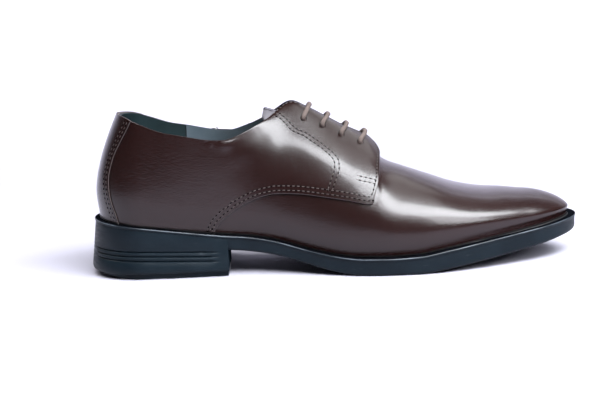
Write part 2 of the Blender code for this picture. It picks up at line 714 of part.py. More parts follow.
def tongue_line(x, depth):
    """Points across the tongue at an x, the given distance inside its upper face."""
    start = along(THROAT_START)
    behind = min(max((start - x) / TONGUE_BACK, 0.0), 1.0)
    carried = max(x, start + CLEARANCE)
    lace_space = LACE_ROOM + LACE_DIAMETER + CLEARANCE
    ahead = min(max((x - eyelet_x(LACE_ROWS - 1) - LACE_DIAMETER) / LACE_PITCH, 0.0), 1.0)
    sunk = 1.5 * CLEARANCE + lace_space * (1.0 - ahead)
    line = []
    for step in range(-TONGUE_STEPS, TONGUE_STEPS + 1):
        side = -1 if step < 0 else 1
        station = middle_station(side, carried)
        across = TONGUE_HALF_WIDTH * abs(step) / TONGUE_STEPS
        row = facing_row(station, max(across, FACING_GAP / 2))
        point = upper_point(station, row, -wall_at(station) - sunk - depth)
        if step == 0:
            point.y = ridge(carried)
            point.z += TONGUE_CROWN * (1.0 - ahead)
        point.x += x - carried
        point.z += TONGUE_RISE * behind ** 2
        line.append(point)
    return line


def build_tongue(material):
    """The tongue under the facings, sewn to the vamp in front."""
    start = along(THROAT_START) - TONGUE_BACK
    end = along(TONGUE_FRONT)
    places = [start + (end - start) * step / TONGUE_LENGTH_STEPS
              for step in range(TONGUE_LENGTH_STEPS + 1)]
    outer = [tongue_line(x, 0.0) for x in places]
    inner = [tongue_line(x, TONGUE_THICKNESS) for x in places]
    return add_wall("tongue", outer, inner, False, material)


def lace_over(side, x, share_across, rise=0.0):
    """A point of a bar, at a share of the way from the crest line to an eyelet."""
    across = EYELET_HALF_SPACING * share_across
    lean = LACE_LEAN * (1.0 - share_across ** 2)
    point = facing_point(side, x + lean, across, LACE_DIAMETER / 2 + CLEARANCE + rise)
    if across < FACING_GAP / 2:
        point.y = ridge(x) + side * across
    return point


def lace_under(side, x, across, depth=0.0):
    """A point of a run under the facings, the given distance below where it lies on them."""
    station = middle_station(side, x)
    inside = wall_at(station) + LACE_ROOM + LACE_DIAMETER / 2 + depth
    return upper_point(station, facing_row(station, across), -inside)


def lace_hole(side, x, direction):
    """Points down through an eyelet and round below it, heading along x."""
    near = LACE_DIAMETER / 2
    return [
        lace_over(side, x, 0.945, -LACE_DIAMETER / 8),
        facing_point(side, x, EYELET_HALF_SPACING, CLEARANCE),
        facing_point(side, x, EYELET_HALF_SPACING, -QUARTER_STEP),
        lace_under(side, x + direction * near / 3, EYELET_HALF_SPACING, -near / 2),
        lace_under(side, x + direction * near * 1.5, EYELET_HALF_SPACING),
    ]


def lace_route():
    """The lace's middle line: bars over the facings, joined by runs under them."""
    route = []
    side = 1
    for number in range(LACE_ROWS):
        x = eyelet_x(number)
        route += lace_hole(side, x, -1)[::-1]
        for part in (0.80, 0.55, 0.28, 0.0, -0.28, -0.55, -0.80):
            rise = CLEARANCE if abs(part) < 0.5 else 0.0
            route.append(lace_over(side if part > 0 else -side, x, abs(part), rise))
        side = -side
        route += lace_hole(side, x, 1 if number < LACE_ROWS - 1 else -1)
    beside = EYELET_HALF_SPACING - LACE_DIAMETER - 2 * CLEARANCE
    for number in range(LACE_ROWS - 1, 0, -1):
        route.append(lace_under(side, eyelet_x(number) - LACE_PITCH / 2, beside))
    return route


def build_lace(material):
    """The lace, one tube."""
    line = smooth_line(lace_route(), 2)
    curve = bpy.data.curves.new("lace", "CURVE")
    curve.dimensions = "3D"
    curve.bevel_depth = LACE_DIAMETER / 2
    curve.bevel_resolution = 1
    curve.use_fill_caps = True
    spline = curve.splines.new("POLY")
    spline.points.add(len(line) - 1)
    for knot, point in zip(spline.points, line):
        knot.co = (*point, 1.0)
    curve.materials.append(material)
    item = bpy.data.objects.new("lace", curve)
    bpy.context.scene.collection.objects.link(item)
    return item


def build_insole(material):
    """The insole inside the upper."""
    def loop(extra, lift):
        points = []
        for station in loop_stations():
            inset = upper_profile(station, 0.0)[0] + wall_at(station) + CLEARANCE + extra
            place = plan(station, inset)
            points.append(Vector((place.x, place.y, sole_top(place.x) + CLEARANCE + lift)))
        return points
    bevel = INSOLE_THICKNESS / 4
    rings = [loop(0.0, 0.0), loop(0.0, INSOLE_THICKNESS - bevel), loop(bevel, INSOLE_THICKNESS)]
    return add_stack("insole", rings, material)


def main():
    for item in list(bpy.data.objects):
        bpy.data.objects.remove(item)
    leather = add_material("upper_leather", (0.045, 0.022, 0.018), 0.30, 0.5)
    rubber = add_material("sole_rubber", (0.012, 0.016, 0.020), 0.45)
    lining = add_material("lining", (0.018, 0.028, 0.032), 0.60)
    cord = add_material("lace_cord", (0.30, 0.24, 0.22), 0.85)
    build_sole(rubber)
    build_top_piece(rubber)
    build_upper(leather)
    build_insole(lining)
    build_tongue(lining)
    build_lace(cord)


main()
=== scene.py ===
"""The finish of a plain derby shoe for the right foot: leather panels, stitches, lace and sole.

Lengths are in metres, in the part's own frame: +X from heel to toe, +Y to the inner side, +Z up.
"""

import bisect
import math
from collections import namedtuple

import bmesh
import bpy
from mathutils import Matrix, Vector


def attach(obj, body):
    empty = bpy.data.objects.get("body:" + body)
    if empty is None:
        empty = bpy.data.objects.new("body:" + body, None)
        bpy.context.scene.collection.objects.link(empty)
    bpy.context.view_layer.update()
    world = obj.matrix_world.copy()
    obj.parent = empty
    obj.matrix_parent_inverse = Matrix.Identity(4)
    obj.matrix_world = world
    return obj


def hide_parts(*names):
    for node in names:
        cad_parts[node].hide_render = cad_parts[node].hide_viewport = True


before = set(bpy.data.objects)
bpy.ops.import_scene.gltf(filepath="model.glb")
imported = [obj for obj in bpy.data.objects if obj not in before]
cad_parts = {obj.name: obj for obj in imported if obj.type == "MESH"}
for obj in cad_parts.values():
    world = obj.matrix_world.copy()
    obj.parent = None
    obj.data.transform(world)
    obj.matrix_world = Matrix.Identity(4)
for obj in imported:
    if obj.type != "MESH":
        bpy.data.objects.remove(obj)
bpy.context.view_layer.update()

# The shoe's own sizes
SOLE_LENGTH = 0.2986
BALL_WIDTH = 0.1040
HEEL_CENTRE = 0.0322
TOE_REACH = 0.0330
TOE_SQUARE = 0.90
HEEL_LENGTH = 0.0802
SEAT_HEIGHT = 0.0340
SOLE_THICKNESS = 0.0100
TOE_SPRING = 0.0150
LIP_DEPTH = 0.0016
LIP_OVERHANG = 0.0006
HEEL_SET_BACK = 0.0005
HEEL_FLARE = 0.0036
TOP_PIECE_THICKNESS = 0.0026
TOP_PIECE_INSET = 0.0028
REAR_BEVEL = 0.0022
REAR_BEVEL_START = 0.0020
REAR_BEVEL_LENGTH = 0.0280
RIB_COUNT = 3
RIB_DEPTH = 0.0009
RIB_WIDTH = 0.0015
RIB_PITCH = 0.0026
RIB_HEIGHT = 0.0090
RIB_RISE = 0.0032
RIB_STOP = 0.0050
THROAT_HEIGHT = 0.0998
TOE_HEIGHT = 0.0384
COLLAR_HALF_WIDTH = 0.0290
INNER_RISE = 0.0018
LEDGE = 0.0030
TUCK = 0.0030
BULGE_HEIGHT = 0.0160
UPPER_WALL = 0.0022
QUARTER_STEP = 0.0013
FACING_LIFT = 0.0056
BACKSTAY_STEP = 0.0008
BACKSTAY_HALF_WIDTH = 0.0215
FACING_GAP = 0.0110
THROAT_START = 0.1232
THROAT_END = 0.1705
FACING_END = 0.1755
TONGUE_THICKNESS = 0.0024
TONGUE_HALF_WIDTH = 0.0230
TONGUE_BACK = 0.0200
TONGUE_RISE = 0.0042
TONGUE_FRONT = 0.1795
LACE_DIAMETER = 0.0027
LACE_ROWS = 4
LACE_PITCH = 0.0112
LACE_START = 0.1294
LACE_LEAN = 0.0045
LACE_ROOM = 0.0009
EYELET_DIAMETER = 0.0040
EYELET_HALF_SPACING = 0.0155
CLEARANCE = 0.0003
LOWER_PART = 0.25
SLOPE_STEP = 0.004

SoleRow = namedtuple("SoleRow", "at outer inner ridge arch spring thickness")
SOLE_ROWS = [
    # at: share of SOLE_LENGTH; outer, inner, ridge: of BALL_WIDTH; arch: of SEAT_HEIGHT;
    # spring: of TOE_SPRING; thickness: of SOLE_THICKNESS
    SoleRow(0.000, 0.317, 0.317, 0.000, 0.750, 0.000, 0.85),
    SoleRow(0.103, 0.317, 0.317, 0.000, 0.642, 0.000, 0.85),
    SoleRow(0.170, 0.322, 0.313, 0.000, 0.565, 0.000, 0.85),
    SoleRow(0.265, 0.320, 0.286, 0.000, 0.450, 0.000, 0.86),
    SoleRow(0.315, 0.324, 0.270, 0.000, 0.405, 0.000, 0.87),
    SoleRow(0.365, 0.345, 0.266, 0.000, 0.335, 0.000, 0.86),
    SoleRow(0.415, 0.383, 0.289, 0.000, 0.218, 0.000, 0.86),
    SoleRow(0.470, 0.436, 0.338, 0.000, 0.082, 0.000, 0.94),
    SoleRow(0.510, 0.472, 0.382, 0.000, 0.018, 0.000, 0.99),
    SoleRow(0.540, 0.494, 0.414, 0.000, 0.000, 0.000, 1.00),
    SoleRow(0.590, 0.515, 0.458, 0.000, 0.000, 0.000, 1.00),
    SoleRow(0.640, 0.517, 0.481, 0.000, 0.000, 0.000, 1.05),
    SoleRow(0.700, 0.498, 0.485, 0.001, 0.000, 0.110, 1.13),
    SoleRow(0.770, 0.446, 0.460, 0.007, 0.000, 0.290, 1.15),
    SoleRow(0.840, 0.375, 0.408, 0.015, 0.000, 0.480, 1.12),
    SoleRow(0.890, 0.318, 0.360, 0.020, 0.000, 0.625, 1.08),
    SoleRow(0.950, 0.262, 0.304, 0.021, 0.000, 0.830, 1.00),
    SoleRow(1.000, 0.228, 0.270, 0.021, 0.000, 1.000, 0.92),
]

UpperRow = namedtuple("UpperRow", "at margin tuck bulge half_width rise fall swell wall lift")
UPPER_ROWS = [
    # margin: share of LEDGE; tuck: of TUCK; bulge: of BULGE_HEIGHT; half_width: of
    # COLLAR_HALF_WIDTH; rise: from TOE_HEIGHT at 0 to THROAT_HEIGHT at 1; fall and swell: how
    # the side leans in and rises; wall: of UPPER_WALL; lift: of FACING_LIFT
    UpperRow(0.000, 1.40, 0.65, 1.00, 0.455, 0.932, 2.00, 1.29, 0.50, 0.00),
    UpperRow(0.060, 1.25, 0.65, 1.02, 0.665, 0.913, 2.00, 1.29, 0.50, 0.00),
    UpperRow(0.103, 1.05, 0.70, 1.03, 0.850, 0.860, 2.00, 1.29, 0.50, 0.00),
    UpperRow(0.150, 0.95, 0.80, 1.03, 0.950, 0.773, 2.00, 1.27, 0.50, 0.00),
    UpperRow(0.190, 0.90, 0.90, 1.02, 0.990, 0.731, 1.95, 1.25, 0.50, 0.00),
    UpperRow(0.242, 0.90, 1.00, 1.00, 1.000, 0.682, 1.90, 1.22, 0.50, 0.00),
    UpperRow(0.275, 0.90, 1.00, 0.98, 0.985, 0.673, 1.85, 1.20, 0.50, 0.00),
    UpperRow(0.305, 0.90, 1.00, 0.95, 0.930, 0.710, 1.78, 1.18, 0.50, 0.00),
    UpperRow(0.335, 0.90, 1.00, 0.92, 0.815, 0.773, 1.68, 1.16, 0.50, 0.00),
    UpperRow(0.360, 0.90, 1.00, 0.90, 0.645, 0.831, 1.58, 1.14, 0.50, 0.00),
    UpperRow(0.382, 0.90, 1.00, 0.87, 0.450, 0.908, 1.50, 1.12, 0.50, 0.00),
    UpperRow(0.398, 0.90, 1.00, 0.85, 0.290, 0.960, 1.46, 1.11, 0.50, 0.00),
    UpperRow(0.411, 0.90, 1.00, 0.84, 0.190, 0.979, 1.43, 1.10, 0.50, 0.00),
    UpperRow(0.440, 0.92, 1.00, 0.82, 0.190, 0.922, 1.40, 1.09, 0.50, 0.00),
    UpperRow(0.465, 0.94, 1.00, 0.80, 0.190, 0.855, 1.36, 1.08, 0.52, 0.02),
    UpperRow(0.490, 0.96, 1.00, 0.79, 0.190, 0.776, 1.32, 1.06, 0.56, 0.13),
    UpperRow(0.515, 0.98, 1.00, 0.78, 0.190, 0.685, 1.28, 1.04, 0.62, 0.40),
    UpperRow(0.540, 1.00, 1.00, 0.76, 0.190, 0.600, 1.23, 1.02, 0.70, 0.72),
    UpperRow(0.565, 1.02, 1.00, 0.74, 0.000, 0.515, 1.18, 1.00, 0.80, 1.00),
    UpperRow(0.597, 1.04, 1.00, 0.72, 0.000, 0.384, 1.12, 1.00, 0.92, 1.15),
    UpperRow(0.640, 1.06, 1.00, 0.70, 0.000, 0.300, 1.06, 1.00, 1.00, 1.20),
    UpperRow(0.692, 1.08, 1.00, 0.66, 0.000, 0.207, 1.02, 1.00, 1.00, 1.20),
    UpperRow(0.745, 1.12, 1.00, 0.60, 0.000, 0.115, 1.02, 1.00, 1.00, 1.20),
    UpperRow(0.800, 1.20, 0.95, 0.53, 0.000, 0.060, 1.04, 1.00, 1.00, 1.20),
    UpperRow(0.845, 1.30, 0.90, 0.47, 0.000, 0.044, 1.08, 1.06, 1.00, 1.20),
    UpperRow(0.889, 1.40, 0.85, 0.42, 0.000, 0.020, 1.12, 1.16, 1.00, 1.20),
    UpperRow(0.950, 1.50, 0.75, 0.36, 0.000, 0.000, 1.14, 1.36, 1.00, 1.20),
    UpperRow(1.000, 1.60, 0.70, 0.32, 0.000, 0.000, 1.15, 1.46, 1.00, 1.20),
]

EdgeRow = namedtuple("EdgeRow", "at height")
QUARTER_EDGE_ROWS = [
    # The quarters' free edge in side view, from the sole round the front to the throat.
    # at: share of FACING_END from the back of the rim; height: share of THROAT_HEIGHT
    EdgeRow(0.415, 0.150),
    EdgeRow(0.427, 0.265),
    EdgeRow(0.452, 0.330),
    EdgeRow(0.484, 0.373),
    EdgeRow(0.515, 0.409),
    EdgeRow(0.545, 0.436),
    EdgeRow(0.576, 0.458),
    EdgeRow(0.607, 0.471),
    EdgeRow(0.641, 0.478),
    EdgeRow(0.714, 0.474),
    EdgeRow(0.788, 0.458),
    EdgeRow(0.872, 0.436),
    EdgeRow(0.942, 0.414),
    EdgeRow(0.957, 0.453),
    EdgeRow(0.976, 0.542),
    EdgeRow(0.990, 0.644),
    EdgeRow(0.998, 0.692),
    EdgeRow(0.997, 0.722),
    EdgeRow(0.986, 0.752),
    EdgeRow(0.965, 0.785),
]

BackstayRow = namedtuple("BackstayRow", "height half_width")
BACKSTAY_ROWS = [
    # height: share of THROAT_HEIGHT; half_width: share of BACKSTAY_HALF_WIDTH
    BackstayRow(0.30, 1.20),
    BackstayRow(0.40, 1.16),
    BackstayRow(0.50, 1.10),
    BackstayRow(0.60, 1.02),
    BackstayRow(0.70, 1.00),
    BackstayRow(0.80, 1.05),
    BackstayRow(0.90, 1.12),
    BackstayRow(1.05, 1.20),
]

# Places along the shoe's outline
HEEL_ARC = 0.0460            # round heel, from the middle of the back to its side
TOE_ARC = 0.0450             # round toe, from its side to the tip
ROW_LENGTH = 0.080           # usual length of a side from its foot to its top edge

# Leather pieces
LINING_THICKNESS = 0.0009
LINING_SEAM = 0.0230         # the heel lining's front edge
LINING_SEAM_WIDTH = 0.0007
LINING_SEAM_STEP = 0.0003    # over which the front lining steps up from the heel's
LINING_SHADE_START = 0.004    # how far ahead of the seam the lining's painted light gives way to painted shade, deeper inside the shoe
LINING_SHADE_END = 0.028
VAMP_START = 0.0300          # rear end of the vamp, under the quarters
SHEET_GAP = 0.00004          # room left between two layers
PANEL_EDGE = 0.00038         # rounding of the cut edges
QUARTER_CORNER = 12          # row of QUARTER_EDGE_ROWS where the front edge starts
FACING_CORNER = 0.0055       # rounding of the facings' front corners
FACING_CORNER_ROW = 0.90
CORNER_STEPS = 12
EDGE_STEPS = 4               # places between two rows of the edge's table
DARK_EDGE_START = 0.083      # the facings' edges are dyed dark
DARK_EDGE_LOW = 0.058
PAINTED_SHADE_FOOT = 0.0008           # height over the sole up to which the leather is painted near black: painted shade in the groove over the sole's ledge
PAINTED_SHADE_FOOT_END = 0.0016
PUNCH_REACH = 0.004          # how far an eyelet's punch reaches to either side
BACKSTAY_STEPS = 24          # heights at which the backstay's edges are worked out
BACKSTAY_SEARCH = 0.012      # how far ahead its edges are looked for

# Tongue
TONGUE_TRIM = 0.0014         # how much shorter its free end is cut
TONGUE_CORNER = 0.42         # how much narrower its free end is
TONGUE_CORNER_PART = 0.16    # share of its length over which it narrows
TONGUE_LEAN = 0.0020         # how much further back its sides reach than its middle
TONGUE_LEAN_PART = 0.30
TONGUE_CROWN = 0.0003        # how far its middle stands up between the facings
TONGUE_PADDING = 0.35        # how much thicker its free end is
TONGUE_PADDING_PART = 0.20
TONGUE_COVER = 0.0006        # thickness of the leather over it
TONGUE_COVER_START = 0.12    # share of its length where that leather starts
TONGUE_COVER_WIDTH = 0.97
TONGUE_COVER_OVERLAP = 0.0001

# Stitches, with the rows given by their distance from the edge that they follow
STITCH_LENGTH = 0.0016
STITCH_GAP = 0.0013
STITCH_THICKNESS = 0.00068
STITCH_ROUNDING = 0.22       # share of its thickness
STITCH_SINK = 0.27           # how deep it lies, as a share of its thickness
MARK_LENGTH = 1.15           # length of the dark mark, painted shade of a needle hole, as a share of the gap
MARK_THICKNESS = 1.65        # and its thickness as a share of the thread's
MARK_SINK = 0.30
EDGE_ROWS = (0.0020, 0.0046)
FRONT_ROW = 0.0018
ROW_SPACING = 0.0026
REACH_STEP = 0.0005          # how far ahead the leather's slope is looked up
SEAM_LOWEST = 0.008          # rows on the quarter between which seams are sewn
SEAM_HIGHEST = 0.976
BACKSTAY_SEAM_STEPS = 96
BACKSTAY_SEAM_FIRST = 3
BACKSTAY_SEAM_LAST = 87
COLLAR_CORNER_SEAM = [       # reach and row
    (0.0795, 0.972), (0.0830, 0.972), (0.0865, 0.970),
    (0.0890, 0.962), (0.0920, 0.955), (0.0955, 0.952),
]
FACING_SEAM = [              # x and height, in side view
    (0.0789, 0.0918), (0.0886, 0.0848), (0.0973, 0.0800), (0.1049, 0.0746), (0.1111, 0.0694),
    (0.1137, 0.0655), (0.1134, 0.0600), (0.1110, 0.0542), (0.1093, 0.0498),
]
BAR_TACK = [(0.1258, 0.0552), (0.1353, 0.0527)]

# Sole
BREAST_SKEW = 0.0016         # how much further forward the heel's breast is on the outer side
HEEL_FOOT = 0.90             # share of the heel's height where its rounded foot starts
HEEL_FOOT_ROUNDING = 0.0019
HEEL_FOOT_STEPS = 5
GROOVE_STEPS = 8
WEAR_PLATE_CHAMFER = 0.0006
INNER_RING = 0.012           # distance of the flat faces' rings from the rim
LEDGE_DEPTH = 0.0006         # faces that lie no lower under the sole's top are its ledge
FLAT = 0.9                   # least part of a face's normal along the way it is sorted by

# Floor and camera
FLOOR_LEVEL = -0.0002
FLOOR_FRONT = 3.0
FLOOR_BACK = 1.6
BACKDROP_BEND = 0.5
BACKDROP_HEIGHT = 1.5
BACKDROP_WIDTH = 8.0
CAMERA_TURN = math.radians(-3.0)
CAMERA_HEIGHT = math.radians(8.2)
CAMERA_ROLL = math.radians(1.9)
CAMERA_DISTANCE = 0.606
CAMERA_TARGET = Vector((0.115, 0.0, 0.047))
CAMERA_LENS = 58.62
SENSOR_WIDTH = 36.0
PHOTO_WIDTH = 600
PHOTO_HEIGHT = 400
TARGET_PIXEL = (334.0, 184.3)    # where the target lies in the photograph

# Creases: the reach and row of the middle, the way they run, their half length, half width and
# height, below 0 for a trough. Each lies on one side of the shoe, -1 the outer one.
Crease = namedtuple("Crease", "side reach row turn length width height")
CREASES = [
    Crease(-1, 0.0405, 0.910, 92.0, 0.0050, 0.0016, -0.00018),
    Crease(-1, 0.0432, 0.895, 86.0, 0.0060, 0.0016, 0.00020),
    Crease(-1, 0.0459, 0.900, 94.0, 0.0055, 0.0016, -0.00022),
    Crease(-1, 0.0486, 0.915, 88.0, 0.0040, 0.0016, 0.00016),
    Crease(-1, 0.0530, 0.830, 15.0, 0.0065, 0.0065, 0.00050),
    Crease(-1, 0.0650, 0.700, 12.0, 0.0110, 0.0085, 0.00060),
    Crease(-1, 0.1180, 0.800, 0.0, 0.0200, 0.0075, -0.00080),
    Crease(-1, 0.1100, 0.602, -3.0, 0.0280, 0.0065, 0.00090),
    Crease(1, 0.0420, 0.910, 90.0, 0.0055, 0.0016, -0.00020),
    Crease(1, 0.0452, 0.905, 95.0, 0.0050, 0.0016, 0.00020),
    Crease(1, 0.0640, 0.710, 14.0, 0.0120, 0.0085, 0.00060),
    Crease(1, 0.1180, 0.800, 0.0, 0.0200, 0.0075, -0.00080),
    Crease(1, 0.1100, 0.602, -3.0, 0.0280, 0.0065, 0.00090),
]
CREASE_END = 0.150           # share of the side over which creases die out below the edge
FOOT_FULLNESS = 0.0008       # how far the leather bulges over the ledge
FOOT_FULLNESS_ROWS = 0.12
TOE_FULLNESS = 0.0010        # how much fuller it is from the ball of the foot on
TOE_FULLNESS_START = 0.150
TOE_FULLNESS_RAMP = 0.070
THROAT_CORNER = 0.0890       # where the collar turns into the facings
EVEN_REACH = 0.0340          # how far from it the sides are evened out
EVEN_LENGTH = 0.0150
EVEN_LEAST = 0.0002
EVEN_ROWS = 0.22
EVEN_STEPS = 5               # places looked at to either side of a point


def columns(rows):
    """Turns a table's rows into one list for each named column."""
    return {name: [row._asdict()[name] for row in rows] for name in rows[0]._fields}


SOLE = columns(SOLE_ROWS)
UPPER = columns(UPPER_ROWS)

Station = namedtuple("Station", "side rim spine at")


def read(table, column, at):
    """Reads a column anywhere along its length, on a smooth curve through the rows."""
    places = table["at"]
    values = table[column]
    at = min(max(at, places[0]), places[-1])
    last = len(places) - 1
    low = min(bisect.bisect_right(places, at) - 1, last - 1)
    span = places[low + 1] - places[low]
    part = (at - places[low]) / span
    slopes = []
    for row in (low, low + 1):
        before = max(row - 1, 0)
        after = min(row + 1, last)
        steep = (values[after] - values[before]) / (places[after] - places[before])
        back = (values[row] - values[before]) * (values[after] - values[row])
        slopes.append(0.0 if back <= 0.0 and before < row < after else steep * span)
    start, end = values[low], values[low + 1]
    curve = part * part * (3.0 - 2.0 * part)
    bend = slopes[0] * part * (1.0 - part) ** 2 - slopes[1] * part * part * (1.0 - part)
    return start + (end - start) * curve + bend


def share(x):
    """Share of the sole's length that lies behind x."""
    return (x + HEEL_CENTRE) / SOLE_LENGTH


def along(length):
    """X of a place measured from the back of the rim."""
    return length - HEEL_CENTRE


TOE_X = along(SOLE_LENGTH - TOE_REACH)
BREAST_X = along(HEEL_LENGTH)


def edge(side, x):
    """Y of the sole's edge on one side, -1 outer and 1 inner, before the toe is rounded."""
    return side * BALL_WIDTH * read(SOLE, "outer" if side < 0 else "inner", share(x))


def ridge(x):
    """Y of the line that the upper's crest follows."""
    return BALL_WIDTH * read(SOLE, "ridge", share(x))


def sole_bottom(x):
    """Height of the sole's underside, without the heel."""
    at = share(x)
    return SEAT_HEIGHT * read(SOLE, "arch", at) + TOE_SPRING * read(SOLE, "spring", at)


def sole_top(x):
    """Height of the sole's upper face."""
    return sole_bottom(x) + SOLE_THICKNESS * read(SOLE, "thickness", share(x))


def heel_station(side, turn):
    """A place on the round heel; turn 0 is the back and 1 the side."""
    angle = turn * math.pi / 2
    x = -HEEL_CENTRE * math.cos(angle)
    rim = Vector((x, edge(side, x) * math.sin(angle)))
    return Station(side, rim, Vector((0.0, 0.0)), share(x))


def middle_station(side, x):
    """A place on the long side of the shoe."""
    return Station(side, Vector((x, edge(side, x))), Vector((x, ridge(x))), share(x))


def toe_station(side, turn):
    """A place on the round toe; turn 0 is the side and 1 the tip."""
    angle = turn * math.pi / 2
    x = TOE_X + TOE_REACH * math.sin(angle) ** TOE_SQUARE
    middle = ridge(TOE_X)
    y = middle + (edge(side, x) - middle) * math.cos(angle) ** TOE_SQUARE
    return Station(side, Vector((x, y)), Vector((TOE_X, middle)), share(x))


def plan(station, inset):
    """The point that lies so far inside the rim."""
    inward = (station.spine - station.rim).normalized()
    return station.rim + inward * inset


def top_half_width(station, facing=False):
    """How far from the crest line the top edge lies; 0 where the vamp under it is closed."""
    if station.at >= THROAT_END / SOLE_LENGTH and not facing:
        return 0.0
    if station.at > THROAT_START / SOLE_LENGTH:
        return FACING_GAP / 2
    return COLLAR_HALF_WIDTH * read(UPPER, "half_width", station.at)


def top_height(station):
    """Height of the upper's top edge or crest."""
    at = min(station.at, share(TOE_X))
    height = TOE_HEIGHT + (THROAT_HEIGHT - TOE_HEIGHT) * read(UPPER, "rise", at)
    if station.side > 0 and at < THROAT_START / SOLE_LENGTH:
        height += INNER_RISE * math.sin(math.pi * at * SOLE_LENGTH / THROAT_START) ** 2
    return height


def upper_profile(station, row, facing=False):
    """How far inside the rim and how high the vamp's surface is, from its lower edge, row 0,
    to its top edge, row 1, or to the edge of the facing over it."""
    at = station.at
    margin = LEDGE * read(UPPER, "margin", at)
    tuck = TUCK * read(UPPER, "tuck", at)
    widest = BULGE_HEIGHT * read(UPPER, "bulge", at)
    foot = sole_top(plan(station, margin + tuck).x) + CLEARANCE
    if row < LOWER_PART:
        part = row / LOWER_PART
        return margin + tuck * (1.0 - part) ** 2, foot + widest * part
    run = (station.rim - station.spine).length - margin - top_half_width(station, facing)
    angle = (row - LOWER_PART) / (1.0 - LOWER_PART) * math.pi / 2
    lean = 1.0 - math.cos(angle) ** read(UPPER, "fall", at)
    rise = math.sin(angle) ** read(UPPER, "swell", at)
    return margin + run * lean, foot + widest + (top_height(station) - foot - widest) * rise


def upper_point(station, row, layer, facing=False):
    """A point of the upper, the given distance outside the vamp's surface, or the facing's."""
    inset, height = upper_profile(station, row, facing)
    if row <= 0.0:
        place = plan(station, inset - layer)
        return Vector((place.x, place.y, sole_top(place.x) + CLEARANCE))
    before = upper_profile(station, max(row - SLOPE_STEP, 0.0), facing)
    after = upper_profile(station, min(row + SLOPE_STEP, 1.0), facing)
    slope = Vector((after[0] - before[0], after[1] - before[1])).normalized()
    if row >= 1.0 and top_half_width(station, facing) == 0.0:
        slope = Vector((1.0, 0.0))
    place = plan(station, inset - slope.y * layer)
    return Vector((place.x, place.y, height + slope.x * layer))


def wall_at(station):
    """Thickness of the upper's wall without the quarters' step."""
    return UPPER_WALL * read(UPPER, "wall", station.at)


def lift_at(station, row):
    """How far the facings stand off the vamp."""
    return FACING_LIFT * read(UPPER, "lift", station.at) * max(row, 0.0) ** 4


def smooth_line(points, steps):
    """Points on a smooth curve through the given ones."""
    line = []
    last = len(points) - 1
    for low in range(last):
        before = points[max(low - 1, 0)]
        after = points[min(low + 2, last)]
        for step in range(steps):
            part = step / steps
            square, cube = part * part, part ** 3
            line.append(0.5 * (2.0 * points[low] + (points[low + 1] - before) * part
                               + (2.0 * before - 5.0 * points[low] + 4.0 * points[low + 1]
                                  - after) * square
                               + (3.0 * points[low] - before - 3.0 * points[low + 1]
                                  + after) * cube))
    line.append(points[-1])
    return line


def facing_row(station, across):
    """How far up the profile a distance from the crest line is reached."""
    margin = LEDGE * read(UPPER, "margin", station.at)
    reach = (station.rim - station.spine).length
    half_gap = min(top_half_width(station, True), across)
    lean = (reach - across - margin) / (reach - margin - half_gap)
    angle = math.acos(max(1.0 - lean, 0.0) ** (1.0 / read(UPPER, "fall", station.at)))
    return LOWER_PART + (1.0 - LOWER_PART) * angle / (math.pi / 2)


def facing_point(side, x, across, layer):
    """A point over the facings, the given distance outside their surface."""
    station = middle_station(side, x)
    row = facing_row(station, max(across, FACING_GAP / 2))
    outside = lift_at(station, row) + QUARTER_STEP + layer
    return upper_point(station, row, outside, True)


def eyelet_x(number):
    """X of a row of eyelets, counted from the ankle."""
    return along(LACE_START + number * LACE_PITCH)


def lace_over(side, x, share_across, rise=0.0):
    """A point of a bar, at a share of the way from the crest line to an eyelet."""
    across = EYELET_HALF_SPACING * share_across
    lean = LACE_LEAN * (1.0 - share_across ** 2)
    point = facing_point(side, x + lean, across, LACE_DIAMETER / 2 + CLEARANCE + rise)
    if across < FACING_GAP / 2:
        point.y = ridge(x) + side * across
    return point


def lace_under(side, x, across, depth=0.0):
    """A point of a run under the facings, the given distance below where it lies on them."""
    station = middle_station(side, x)
    inside = wall_at(station) + LACE_ROOM + LACE_DIAMETER / 2 + depth
    return upper_point(station, facing_row(station, across), -inside)


def lace_hole(side, x, direction):
    """Points down through an eyelet and round below it, heading along x."""
    near = LACE_DIAMETER / 2
    return [
        lace_over(side, x, 0.945, -LACE_DIAMETER / 8),
        facing_point(side, x, EYELET_HALF_SPACING, CLEARANCE),
        facing_point(side, x, EYELET_HALF_SPACING, -QUARTER_STEP),
        lace_under(side, x + direction * near / 3, EYELET_HALF_SPACING, -near / 2),
        lace_under(side, x + direction * near * 1.5, EYELET_HALF_SPACING),
    ]


def lace_route():
    """The lace's middle line: bars over the facings, joined by runs under them."""
    route = []
    side = 1
    for number in range(LACE_ROWS):
        x = eyelet_x(number)
        route += lace_hole(side, x, -1)[::-1]
        for part in (0.80, 0.55, 0.28, 0.0, -0.28, -0.55, -0.80):
            rise = CLEARANCE if abs(part) < 0.5 else 0.0
            route.append(lace_over(side if part > 0 else -side, x, abs(part), rise))
        side = -side
        route += lace_hole(side, x, 1 if number < LACE_ROWS - 1 else -1)
    beside = EYELET_HALF_SPACING - LACE_DIAMETER - 2 * CLEARANCE
    for number in range(LACE_ROWS - 1, 0, -1):
        route.append(lace_under(side, eyelet_x(number) - LACE_PITCH / 2, beside))
    return route


def station_at(side, reach):
    """A place by its distance from the side of the round heel: below 0 round the heel and past
    the side of the toe round the toe."""
    if reach < 0.0:
        return heel_station(side, max(1.0 + reach / HEEL_ARC, 0.0))
    if reach > TOE_X:
        return toe_station(side, min((reach - TOE_X) / TOE_ARC, 1.0))
    return middle_station(side, reach)


def foot_fullness(reach, row):
    """How far the leather bulges over the sole's ledge at its foot."""
    ahead = min(max((reach - TOE_FULLNESS_START) / TOE_FULLNESS_RAMP, 0.0), 1.0)
    fullness = FOOT_FULLNESS + TOE_FULLNESS * ahead
    return fullness * max(1.0 - row / FOOT_FULLNESS_ROWS, 0.0) ** 2


